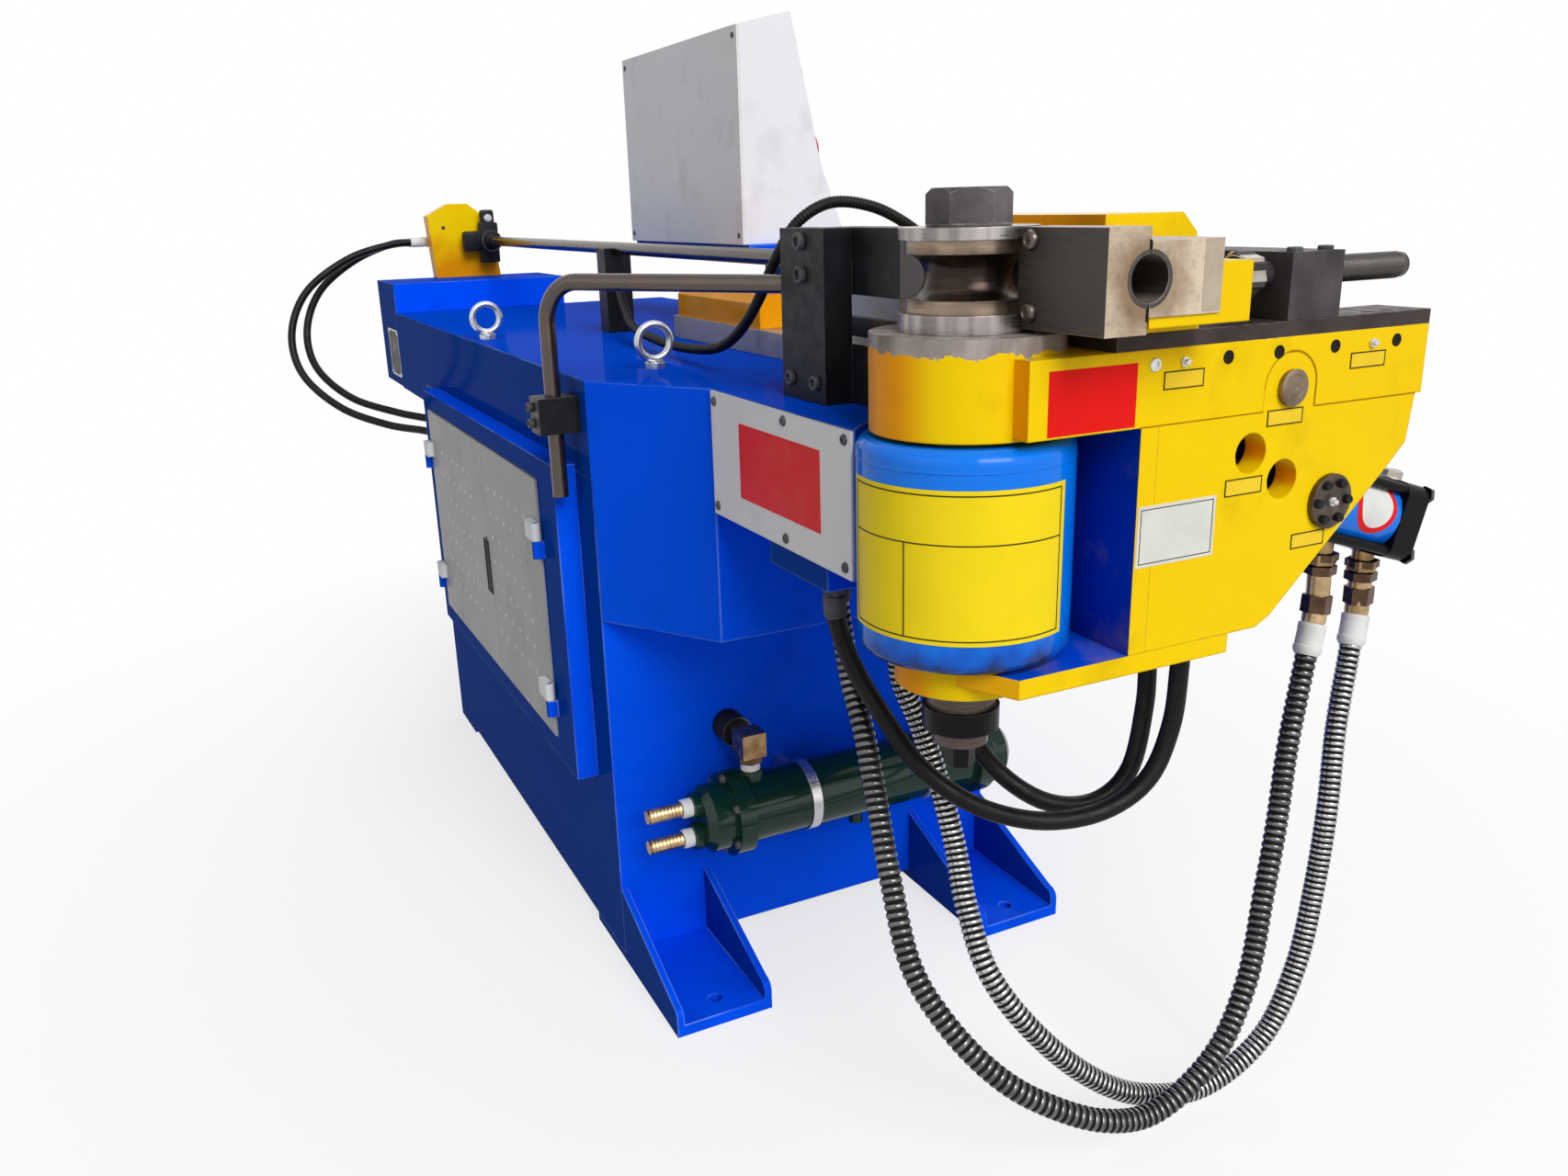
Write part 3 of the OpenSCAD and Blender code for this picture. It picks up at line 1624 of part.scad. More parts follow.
base_cabinet();
floor_feet();
upper_bed();
rear_box();
nose_plate();
door_frame();
door_rear();
door_front();
spindle_housing();
spindle_bushes();
spindle_shaft();
lock_collar();
bend_die();
die_rings();
die_bolt();
arm_upper();
arm_cheeks();
arm_web();
arm_lower();
arm_rails();
arm_pins();
arm_manifold();
grip_block();
clamp_die();
clamp_slide();
screw_block();
adjusting_screw();
toggle_lever();
clamp_cylinder();
clamp_rod();
cylinder_fittings();
wiper_column();
wiper_die();
brace_rod();
rod_clamps();
eye_bolts();
sensor_conduit();
pressure_bed();
pressure_block();
pressure_holder();
pressure_die();
pressure_cylinder();
mandrel_bracket();
mandrel_cylinder();
mandrel_rod();
console_case();
console_back();
console_stand();
e_stop();
cooler_shell();
cooler_caps();
cooler_saddles();
cooler_fittings();
hose_manifold();
pump_motor();
armoured_hose_a();
armoured_hose_b();
arm_hoses();
mandrel_hoses();
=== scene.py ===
"""Looks of a hydraulic pipe bender: finishes, fasteners, labels and hoses on the CAD frame."""

import math

import bmesh
import bpy
from mathutils import Matrix, Vector


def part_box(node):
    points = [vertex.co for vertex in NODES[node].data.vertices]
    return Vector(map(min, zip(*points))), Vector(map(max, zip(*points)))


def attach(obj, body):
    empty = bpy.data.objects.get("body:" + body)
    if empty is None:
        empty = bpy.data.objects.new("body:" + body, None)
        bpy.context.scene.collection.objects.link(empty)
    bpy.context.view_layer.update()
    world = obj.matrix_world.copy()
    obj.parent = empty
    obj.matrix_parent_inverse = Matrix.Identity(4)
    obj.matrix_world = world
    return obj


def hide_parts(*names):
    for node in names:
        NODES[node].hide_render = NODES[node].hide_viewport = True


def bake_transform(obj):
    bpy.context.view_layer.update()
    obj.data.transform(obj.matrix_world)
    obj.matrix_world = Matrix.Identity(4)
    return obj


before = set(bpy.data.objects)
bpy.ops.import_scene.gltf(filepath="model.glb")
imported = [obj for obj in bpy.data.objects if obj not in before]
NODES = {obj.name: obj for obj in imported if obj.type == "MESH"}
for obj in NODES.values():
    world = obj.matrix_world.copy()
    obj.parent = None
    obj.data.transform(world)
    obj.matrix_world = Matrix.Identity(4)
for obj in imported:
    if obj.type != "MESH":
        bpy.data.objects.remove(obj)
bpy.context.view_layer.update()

# The spindle's foot in the part's frame, and the tube's line across from it and up.
MM = 0.001
SPINDLE = Vector((0.945, -0.111, 0.0))
TUBE = (57, 947)
TUBE_LINE = (SPINDLE.y + TUBE[0] * MM, TUBE[1] * MM)
FRONT, LEFT, RIGHT, UP = (1, 0, 0), (0, -1, 0), (0, 1, 0), (0, 0, 1)


def at(x, y, z):
    """A point given in millimetres from the spindle's foot, as the part's source gives it."""
    return SPINDLE + Vector((x, y, z)) * MM


# Materials

NOISE_ROUGHNESS = 0.55
COAT_ROUGHNESS = 0.08


def scaled(color, share):
    """A colour made darker or brighter, up to white."""
    return tuple(min(1, c * share) for c in color)


class Look:
    """A principled material made of procedural layers, with textures in the frame's own metres."""

    def __init__(self, name, metallic=0.0, coat=0.0, specular=0.5):
        self.material = bpy.data.materials.new(name)
        self.material.use_nodes = True
        self.tree = self.material.node_tree
        self.shader = self.tree.nodes["Principled BSDF"]
        self.shader.inputs["Metallic"].default_value = metallic
        self.shader.inputs["Coat Weight"].default_value = coat
        self.shader.inputs["Specular IOR Level"].default_value = specular
        self.coords = self.add("ShaderNodeTexCoord")
        self.place = self.coords.outputs["Object"]
        self.geometry = self.add("ShaderNodeNewGeometry")

    def add(self, kind, **settings):
        node = self.tree.nodes.new(kind)
        for key, value in settings.items():
            setattr(node, key, value)
        return node

    def feed(self, socket, value):
        if isinstance(value, bpy.types.NodeSocket):
            self.tree.links.new(value, socket)
        elif socket.type == "RGBA":
            socket.default_value = (*value, 1)
        else:
            socket.default_value = value

    def noise(self, scale, detail, stretch=(1, 1, 1)):
        mapping = self.add("ShaderNodeMapping")
        mapping.inputs["Scale"].default_value = stretch
        self.feed(mapping.inputs["Vector"], self.place)
        node = self.add("ShaderNodeTexNoise")
        self.feed(node.inputs["Vector"], mapping.outputs["Vector"])
        for name, value in (("Scale", scale), ("Detail", detail), ("Roughness", NOISE_ROUGHNESS)):
            node.inputs[name].default_value = value
        return node.outputs["Fac"]

    def band(self, value, low, high, start=0.0, end=1.0):
        """The value's range from low to high, spread from start to end."""
        node = self.add("ShaderNodeMapRange")
        settings = {"Value": value, "From Min": low, "From Max": high, "To Min": start, "To Max": end}
        for name, setting in settings.items():
            self.feed(node.inputs[name], setting)
        return node.outputs["Result"]

    def cloud(self, scale, detail, low, high, start=0.0, end=1.0, stretch=(1, 1, 1)):
        """A band of noise."""
        return self.band(self.noise(scale, detail, stretch), low, high, start, end)

    def wavy(self, value, scale, detail, low, high, reach):
        """The value, made to wander by reach to either side."""
        return self.math("ADD", value, self.cloud(scale, detail, low, high, -reach, reach))

    def math(self, operation, a, b=0.0):
        node = self.add("ShaderNodeMath", operation=operation)
        self.feed(node.inputs[0], a)
        self.feed(node.inputs[1], b)
        return node.outputs[0]

    def times(self, a, b):
        return self.math("MULTIPLY", a, b)

    def mix(self, share, a, b):
        node = self.add("ShaderNodeMix", data_type="RGBA")
        self.feed(node.inputs[0], share)
        self.feed(node.inputs[6], a)
        self.feed(node.inputs[7], b)
        return node.outputs[2]

    def part(self, vector, name):
        split = self.add("ShaderNodeSeparateXYZ")
        self.feed(split.inputs[0], vector)
        return split.outputs[name]

    def axis(self, name):
        return self.part(self.place, name)

    def facing(self, name):
        """One part of the surface's direction, in the piece's own frame, so that it turns with the piece."""
        return self.part(self.coords.outputs["Normal"], name)

    def from_tube(self):
        """Distance from the bent tube's centre line, which runs along X."""
        across = self.math("SUBTRACT", self.axis("Y"), TUBE_LINE[0])
        up = self.math("SUBTRACT", self.axis("Z"), TUBE_LINE[1])
        return self.math("SQRT", self.math("ADD", self.times(across, across), self.times(up, up)))

    def edges(self, radius):
        """Share of wear at sharp edges, and the normal that rounds them."""
        bevel = self.add("ShaderNodeBevel", samples=4)
        bevel.inputs["Radius"].default_value = radius
        dot = self.add("ShaderNodeVectorMath", operation="DOT_PRODUCT")
        self.feed(dot.inputs[0], bevel.outputs["Normal"])
        self.feed(dot.inputs[1], self.geometry.outputs["Normal"])
        return self.band(dot.outputs["Value"], 0.97, 0.8), bevel.outputs["Normal"]

    def finish(self, color, rough, bump=None, strength=0.0, depth=0.0, normal=None):
        self.feed(self.shader.inputs["Base Color"], color)
        self.feed(self.shader.inputs["Roughness"], rough)
        if bump is not None:
            node = self.add("ShaderNodeBump")
            node.inputs["Strength"].default_value = strength
            node.inputs["Distance"].default_value = depth
            self.feed(node.inputs["Height"], bump)
            if normal is not None:
                self.feed(node.inputs["Normal"], normal)
            self.feed(self.shader.inputs["Normal"], node.outputs["Normal"])
        return self.material

    def grained(self, color, scale, low, high, grain, strength, depth, normal=None):
        """Finish with a roughness that wanders from low to high, and fine noise as the bump."""
        rough = self.cloud(scale, 3, 0.3, 0.7, low, high)
        return self.finish(color, rough, self.noise(grain, 2), strength, depth, normal)


def paint(name, color, shade, bare=(0.30, 0.30, 0.31), gloss=0.16, wear=0.5, region=None, coat=0.08,
          sheen=0.03, corner=0.0025, left=None, rim=None):
    """Gloss enamel over welded plate: uneven tone, orange peel, chipped edges.
    region(look) may give a share and a second colour for part of the surface, left is painted shade on
    faces turned to -Y, and rim a painted highlight along rounded edges."""
    look = Look(name, coat=coat, specular=sheen)
    look.shader.inputs["Coat Roughness"].default_value = COAT_ROUGHNESS
    base = look.mix(look.cloud(2.6, 4, 0.35, 0.7), color, shade)
    # Painted shade: faces turned to -Y take the left tone.
    if left is not None:
        base = look.mix(look.band(look.facing("Y"), -0.8, -0.97), base, left)
    if region is not None:
        share, other = region(look)
        base = look.mix(share, base, other)
    grime = look.cloud(14, 5, 0.56, 0.8, 0.0, 0.35)
    base = look.mix(grime, base, scaled(shade, 0.45))
    worn, rounded = look.edges(corner)
    # Painted highlight: rounded edges take the rim tone.
    if rim is not None:
        base = look.mix(look.times(worn, look.cloud(6, 3, 0.42, 0.6, 0.1, 0.8)), base, rim)
    chips = look.times(worn, look.cloud(95, 4, 0.56, 0.64, 0.0, wear))
    base = look.mix(chips, base, bare)
    rough = look.cloud(9, 3, 0.3, 0.75, gloss, gloss + 0.16)
    return look.finish(base, rough, look.noise(420, 2), 0.05, 0.0006, rounded)


def steel(name, light, dark, grain, rough, stains=0.35, metallic=0.9, bands=0.0):
    """Machined steel with tool marks along one direction and brown stains; bands adds upright streaks of
    painted highlight, standing for a turned surface's reflections.
    """
    look = Look(name, metallic=metallic)
    marks = look.noise(45, 3, grain)
    base = look.mix(look.band(marks, 0.2, 0.8), dark, light)
    if bands:
        painted_sheen = look.cloud(55, 2, 0.42, 0.62, 0.0, bands, (1, 1, 0.04))
        base = look.mix(painted_sheen, base, scaled(light, 2))
    base = look.mix(look.cloud(18, 5, 0.52, 0.78, 0.0, stains), base, STAIN)
    worn, rounded = look.edges(0.0012)
    base = look.mix(look.times(worn, 0.4), base, scaled(light, 1.4))
    roughness = look.band(marks, 0.3, 0.7, rough - 0.08, rough + 0.14)
    return look.finish(base, roughness, marks, 0.05, 0.0003, rounded)


def tool_block(name, pale, brown, side, other):
    """A ground tool block: end face stained brown round the tube hole, dark side face, plain elsewhere."""
    look = Look(name, metallic=0.5)
    marks = look.noise(40, 3, (1, 1, 18))
    reach = look.wavy(look.from_tube(), 34, 4, 0.3, 0.7, 0.013)
    front = look.mix(look.band(reach, 0.026, 0.054), brown, pale)
    front = look.mix(look.cloud(85, 5, 0.52, 0.74, 0.0, 0.5), front, scaled(brown, 0.5))
    base = look.mix(look.band(look.facing("X"), 0.5, 0.8), other, front)
    base = look.mix(look.band(look.facing("Y"), -0.5, -0.8), base, side)
    base = look.mix(look.band(marks, 0.35, 0.75, 0.0, 0.22), base, scaled(other, 0.6))
    worn, rounded = look.edges(0.0012)
    base = look.mix(look.times(worn, 0.6), base, scaled(pale, 1.3))
    return look.finish(base, look.band(marks, 0.3, 0.7, 0.34, 0.5), marks, 0.06, 0.0003, rounded)


def blackened(name, color, edge, rough):
    """Blackened steel with brighter, rubbed edges and a faint mill grain."""
    look = Look(name, metallic=0.12, specular=0.14)
    base = look.mix(look.cloud(25, 5, 0.35, 0.75), color, scaled(color, 2.1))
    worn, rounded = look.edges(0.0015)
    base = look.mix(look.times(worn, look.cloud(80, 3, 0.4, 0.62)), base, edge)
    return look.grained(base, 60, rough - 0.08, rough + 0.16, 500, 0.06, 0.0005, rounded)


def rubber(name, color):
    look = Look(name, specular=0.16)
    base = look.mix(look.cloud(30, 4, 0.4, 0.75), color, scaled(color, 2.4))
    return look.grained(base, 55, 0.32, 0.57, 700, 0.12, 0.0005)


def brassy(name, light, dark):
    look = Look(name, metallic=0.95)
    base = look.mix(look.cloud(60, 4, 0.35, 0.7), light, dark)
    return look.grained(base, 90, 0.22, 0.42, 300, 0.08, 0.0004)


def armour(name, light, dark):
    """Wound steel strip of the ribs' crowns; the grooves between them take a near-black painted shade."""
    look = Look(name, metallic=0.9)
    base = look.mix(look.cloud(35, 4, 0.35, 0.75), light, dark)
    return look.grained(base, 80, 0.16, 0.34, 500, 0.08, 0.0004)


def plain(name, color, rough, metallic=0.0, speck=0.12):
    """A flat printed or moulded surface with faint mottling and grain."""
    look = Look(name, metallic=metallic, specular=0.08)
    base = look.mix(look.cloud(22, 4, 0.4, 0.8, 0.0, speck * 3), color, scaled(color, 0.6))
    return look.grained(base, 40, rough - 0.06, rough + 0.1, 600, speck, 0.0003)


BLUE, BLUE_SHADE = (0.0005, 0.090, 0.92), (0.0004, 0.074, 0.82)
# In order: painted shade for blue faces turned to -Y, the web's blue paint deepened partly as painted shade,
# and a painted highlight along rounded blue edges.
SHADED_NAVY, WEB_BLUE_SHADED, EDGE_HIGHLIGHT_BLUE = (0.0006, 0.045, 0.32), (0.0005, 0.034, 0.40), (0.30, 0.52, 0.95)
AZURE, AZURE_SHADE = (0.001, 0.19, 0.86), (0.001, 0.16, 0.76)
YELLOW, YELLOW_SHADE = (0.92, 0.62, 0.001), (0.88, 0.56, 0.001)
# The first is painted shade for yellow faces turned to -Y; the others are scratches and stains.
SHADED_AMBER, SCRATCH, STAIN = (0.95, 0.36, 0.001), (0.22, 0.17, 0.08), (0.16, 0.10, 0.06)

# Heights in metres at which a finish or a painted shade changes on one piece, each from one tone to the next.
BED_TOP_SHADE = (0.70, 0.75)
HUB_BARE = (0.8854, 0.8866)
HOLDER_BARE, HOLDER_FOOT = (0.921, 0.919), (0.876, 0.880)
DRUM_SHADE, DRUM_OIL_AND_SHADOW = (0.648, 0.622), (0.622, 0.604)
BRACKET_LOW = (0.965, 0.90)
COLLAR_BLACK = ((0.5452, 0.5218), (0.5062, 0.478))
PIN_SPLIT = 0.78
# The door hinges' leaves lie beyond this place across the machine.
HINGE_WHITE = (-0.3335, -0.3345)


def bare_top(look):
    """Bare turned steel above a ragged paint edge on the hub."""
    height = look.wavy(look.axis("Z"), 75, 4, 0.25, 0.75, 0.006)
    scraped = look.cloud(30, 5, 0.36, 0.68, stretch=(1, 1, 0.4))
    return look.band(height, *HUB_BARE), look.mix(scraped, (0.21, 0.17, 0.155), (0.44, 0.385, 0.355))


# Blue paint on the web's faces turned to -Y, in a deeper blue that is partly painted shade.
def blue_left(look):
    return look.band(look.facing("Y"), -0.4, -0.6), WEB_BLUE_SHADED


def shaded_top(look):
    """Painted shade: a deeper blue on the bed's top."""
    high = look.band(look.axis("Z"), *BED_TOP_SHADE)
    return look.times(high, look.band(look.facing("Z"), 0.5, 0.8)), (0.0005, 0.066, 0.63)


# Blue paint on the lower plate's top, in a deeper blue that is partly painted shade.
def blue_above(look):
    return look.band(look.facing("Z"), 0.4, 0.6), (0.0005, 0.070, 0.64)


def bare_front(look):
    """Bare steel low on the holder's face behind the die, dark at its foot."""
    height = look.axis("Z")
    metal = look.mix(look.band(height, *HOLDER_FOOT), (0.012, 0.011, 0.011), (0.56, 0.56, 0.55))
    return look.times(look.band(height, *HOLDER_BARE), look.band(look.facing("Y"), -0.5, -0.7)), metal


def shaded_oily_rim(look):
    """Painted shade and oil grime round the foot of the drum: a deeper azure, then a near-black brown at
    the very foot that is partly oil and partly painted shadow.
    """
    height = look.wavy(look.axis("Z"), 24, 5, 0.3, 0.7, 0.016)
    shade = look.mix(look.band(height, *DRUM_OIL_AND_SHADOW), (0.001, 0.085, 0.50), (0.02, 0.014, 0.01))
    return look.band(height, *DRUM_SHADE), shade


def orange_foot(look):
    """Darker, more orange paint low on the mandrel bracket."""
    height = look.wavy(look.axis("Z"), 22, 4, 0.25, 0.75, 0.03)
    return look.band(height, *BRACKET_LOW), (0.72, 0.27, 0.003)


def white_hinge(look):
    return look.band(look.axis("Y"), *HINGE_WHITE), (0.75, 0.76, 0.78)


def tinted_die():
    """Turned die, straw and brown heat colours in its groove, which is darkened partly as painted shade."""
    look = Look("tinted_die_steel", metallic=0.95)
    marks = look.noise(30, 3, (1, 1, 40))
    away = look.math("ABSOLUTE", look.math("SUBTRACT", look.axis("Z"), TUBE_LINE[1]))
    flange = look.band(look.wavy(away, 24, 4, 0.3, 0.7, 0.006), 0.014, 0.026)
    mottle = look.cloud(11, 3, 0.44, 0.66, stretch=(1, 1, 0.3))
    # The groove's near-black tone is partly painted shade, standing for dark reflections.
    groove = look.mix(mottle, (0.030, 0.021, 0.018), (0.16, 0.125, 0.10))
    base = look.mix(flange, groove, (0.27, 0.205, 0.15))
    base = look.mix(look.band(marks, 0.45, 0.8, 0.0, 0.5), base, (0.07, 0.048, 0.034))
    rounded = look.edges(0.001)[1]
    return look.finish(base, look.band(marks, 0.3, 0.7, 0.2, 0.38), marks, 0.1, 0.0004, rounded)


def banded_collar():
    """Brown steel lock nut and washer, with a blackened disc between them and a black end hexagon."""
    look = Look("banded_collar", metallic=0.6, specular=0.3)
    height = look.axis("Z")
    marks = look.noise(45, 3, (1, 1, 24))
    base = look.mix(look.band(marks, 0.2, 0.8), (0.04, 0.029, 0.025), (0.15, 0.115, 0.10))
    for top, bottom in COLLAR_BLACK:
        below, above = look.math("LESS_THAN", height, top), look.math("GREATER_THAN", height, bottom)
        base = look.mix(look.times(below, above), base, (0.004, 0.0035, 0.0035))
    worn, rounded = look.edges(0.0012)
    base = look.mix(look.times(worn, 0.4), base, (0.22, 0.19, 0.17))
    return look.finish(base, look.band(marks, 0.3, 0.7, 0.26, 0.42), marks, 0.06, 0.0003, rounded)


def pin_bronze():
    """Brown steel of the arm's pins, darker on the lower one."""
    look = Look("bronze_pin", metallic=0.9)
    low = look.math("LESS_THAN", look.axis("Z"), PIN_SPLIT)
    mottle = look.cloud(60, 4, 0.35, 0.7)
    base = look.mix(mottle, (0.30, 0.23, 0.17), (0.17, 0.125, 0.09))
    base = look.mix(low, base, look.mix(mottle, (0.115, 0.088, 0.07), (0.06, 0.046, 0.038)))
    return look.grained(base, 90, 0.22, 0.42, 300, 0.08, 0.0004)


def yellow(name, **more):
    return paint(name, YELLOW, YELLOW_SHADE, **more)


def powder(name, color, shade, **more):
    return paint(name, color, shade, gloss=0.34, **more)


MAT = {}


def use(key, material, nodes=""):
    """Keep a material for the pieces under a short name, and give it to these CAD nodes."""
    MAT[key] = material
    for name in nodes.split():
        NODES[name].data.materials.clear()
        NODES[name].data.materials.append(material)


# Blue enamel with painted shade on faces turned to -Y and on the bed's top, and a painted highlight along
# rounded edges.
use("blue", paint("blue_enamel", BLUE, BLUE_SHADE, coat=0.04, sheen=0.0, corner=0.004, wear=0.3, left=SHADED_NAVY,
    rim=EDGE_HIGHLIGHT_BLUE, region=shaded_top),
    "base_cabinet floor_feet upper_bed rear_box door_frame console_stand pressure_cylinder hose_manifold")
# Azure enamel with painted shade and oil grime round the drum's foot.
use("azure", paint("azure_enamel", AZURE, AZURE_SHADE, gloss=0.08, wear=0.35, coat=0.3, sheen=0.05,
    region=shaded_oily_rim), "spindle_housing")
# The yellow enamels' left tone is painted shade on faces turned to -Y.
use("yellow", yellow("yellow_enamel", bare=SCRATCH, wear=0.35, left=SHADED_AMBER), "arm_cheeks clamp_slide")
use("holder", yellow("yellow_holder", bare=SCRATCH, wear=0.35, left=SHADED_AMBER, region=bare_front),
    "pressure_holder")
use("hub", yellow("yellow_hub", bare=SCRATCH, wear=0.3, left=SHADED_AMBER, region=bare_top), "arm_upper")
use("bracket", yellow("yellow_bracket", bare=SCRATCH, wear=0.3, left=SHADED_AMBER, region=orange_foot),
    "mandrel_bracket")
use("web", yellow("yellow_web", region=blue_left), "arm_web")
use("lower", yellow("yellow_lower", left=SHADED_AMBER, region=blue_above), "arm_lower")
# Painted shade: the pressure block in an orange, shaded copy of the yellow enamel.
use("orange", paint("shaded_yellow_enamel", (0.90, 0.36, 0.004), (0.80, 0.30, 0.003), bare=(0.2, 0.13, 0.06)),
    "pressure_block")
use("grey", powder("grey_powder", (0.80, 0.79, 0.80), (0.75, 0.74, 0.75), wear=0.15), "nose_plate")
# The door powder's rim tone is a painted highlight along rounded edges.
use("door", powder("door_powder", (0.41, 0.41, 0.41), (0.37, 0.37, 0.37), wear=0.15, region=white_hinge,
    rim=(0.78, 0.78, 0.78)), "door_rear door_front")
use("pale", powder("pale_powder", (0.83, 0.83, 0.85), (0.79, 0.79, 0.81), wear=0.12), "console_case")
# Painted light: the console's back panel in a brighter copy of the pale powder.
use("lit_back_panel", powder("lit_back_powder", (0.87, 0.87, 0.83), (0.83, 0.83, 0.79), wear=0.12), "console_back")
use("green", paint("green_enamel", (0.005, 0.033, 0.021), (0.003, 0.024, 0.015), gloss=0.1, wear=0.2,
    coat=0.5), "cooler_shell cooler_caps pump_motor")
use("die", tinted_die(), "bend_die")
# Turned steel whose upright streaks are painted highlight.
use("turned", steel("turned_steel", (0.25, 0.23, 0.225), (0.15, 0.135, 0.13), (1, 1, 22), 0.26, 0.25,
    bands=0.7), "die_rings spindle_shaft")
use("milled", steel("milled_steel", (0.46, 0.43, 0.38), (0.36, 0.33, 0.28), (24, 1, 1), 0.36),
    "pressure_die pressure_bed")
use("tool", tool_block("ground_clamp_block", (0.69, 0.575, 0.425), (0.38, 0.275, 0.175), (0.05, 0.04, 0.038),
    (0.33, 0.28, 0.23)), "clamp_die")
use("grip", tool_block("ground_grip_block", (0.56, 0.45, 0.325), (0.27, 0.175, 0.10), (0.048, 0.037, 0.034),
    (0.30, 0.25, 0.20)), "grip_block")
use("dark_tool", steel("dark_tool_steel", (0.085, 0.075, 0.07), (0.05, 0.045, 0.042), (24, 1, 1), 0.36, 0.2,
    0.6), "wiper_die")
use("nut_steel", steel("rubbed_nut_steel", (0.17, 0.14, 0.125), (0.09, 0.075, 0.066), (1, 1, 24), 0.3, 0.3))
use("collar", banded_collar(), "lock_collar")
use("rod", steel("drawn_rod", (0.135, 0.11, 0.098), (0.065, 0.052, 0.046), (1, 30, 30), 0.18, 0.5),
    "mandrel_rod brace_rod clamp_rod")
use("bright", steel("bright_steel", (0.62, 0.62, 0.63), (0.46, 0.46, 0.47), (30, 1, 1), 0.26, 0.12),
    "cooler_saddles eye_bolts")
use("black", blackened("black_oxide", (0.007, 0.0075, 0.009), (0.10, 0.10, 0.11), 0.38),
    "wiper_column rod_clamps mandrel_cylinder arm_manifold toggle_lever")
use("charcoal", blackened("charcoal_block", (0.042, 0.037, 0.040), (0.20, 0.19, 0.19), 0.45),
    "screw_block adjusting_screw")
use("rail", blackened("rail_steel", (0.036, 0.026, 0.024), (0.24, 0.21, 0.20), 0.4), "arm_rails")
use("die_bolt", blackened("die_bolt_steel", (0.075, 0.066, 0.070), (0.46, 0.43, 0.43), 0.42), "die_bolt")
use("bolt", blackened("dark_bolt", (0.055, 0.055, 0.06), (0.25, 0.25, 0.26), 0.5))
# Near-black painted shade for holes, slots, recesses and the grooves between hose ribs.
use("socket", blackened("painted_recess_shade", (0.006, 0.005, 0.005), (0.03, 0.025, 0.02), 0.6))
# Dark amber painted shadow lines along steps on the arm's face.
use("step_shadow", plain("seam_shadow", (0.40, 0.215, 0.002), 0.6))
use("label", plain("label_yellow", (0.90, 0.62, 0.03), 0.35))
use("stain", plain("stained_strip", (0.50, 0.42, 0.32), 0.5, metallic=0.3, speck=0.33))
use("hex_brown", brassy("browned_hex", (0.13, 0.075, 0.045), (0.07, 0.04, 0.026)))
use("gold", brassy("bright_brass", (0.60, 0.43, 0.24), (0.34, 0.225, 0.11)))
# Painted highlight: the door dimples in a paler copy of the door grey.
use("lit_dimple", plain("highlight_dimple", (0.55, 0.55, 0.55), 0.4))
use("rubber", rubber("hose_rubber", (0.0035, 0.0035, 0.004)), "arm_hoses mandrel_hoses sensor_conduit")
use("armour", armour("wound_armour", (0.50, 0.50, 0.51), (0.30, 0.30, 0.31)),
    "armoured_hose_a armoured_hose_b")
use("dark_armour", armour("dark_wound_armour", (0.17, 0.17, 0.175), (0.07, 0.07, 0.075)))
use("brass", brassy("brass_fitting", (0.40, 0.255, 0.12), (0.18, 0.105, 0.05)),
    "cylinder_fittings cooler_fittings")
use("bronze", pin_bronze(), "arm_pins spindle_bushes")
use("plate", plain("zinc_plate", (0.70, 0.71, 0.73), 0.3, metallic=0.8))
use("white", plain("white_plastic", (0.78, 0.78, 0.77), 0.4))
use("pale_panel", plain("pale_panel", (0.72, 0.72, 0.66), 0.35))
use("red_field", plain("red_field", (0.80, 0.010, 0.008), 0.3, speck=0.06))
use("yellow_field", plain("yellow_field", (0.92, 0.70, 0.012), 0.32, speck=0.06))
use("line", plain("dark_line", (0.05, 0.04, 0.02), 0.5))
use("screen", plain("dark_screen", (0.012, 0.014, 0.02), 0.12))
use("red", plain("red_button", (0.62, 0.01, 0.012), 0.25), "e_stop")
use("green_button", plain("green_button", (0.01, 0.30, 0.06), 0.25))
use("nameplate", plain("dark_nameplate", (0.05, 0.04, 0.034), 0.4, speck=0.3))
use("cylinder", paint("cylinder_black", (0.005, 0.005, 0.006), (0.003, 0.003, 0.004), gloss=0.2, wear=0.3,
    coat=0.12), "clamp_cylinder")


# Mesh building

# Points along each span of a route before it is divided evenly.
SPAN_STEPS = 40


def put(name, data):
    made = bpy.data.objects.new(name, data)
    bpy.context.scene.collection.objects.link(made)
    return made


def turns(start, end, steps):
    """Angles in radians at even steps, from start to end in degrees."""
    return [math.radians(start + (end - start) * k / steps) for k in range(steps + 1)]


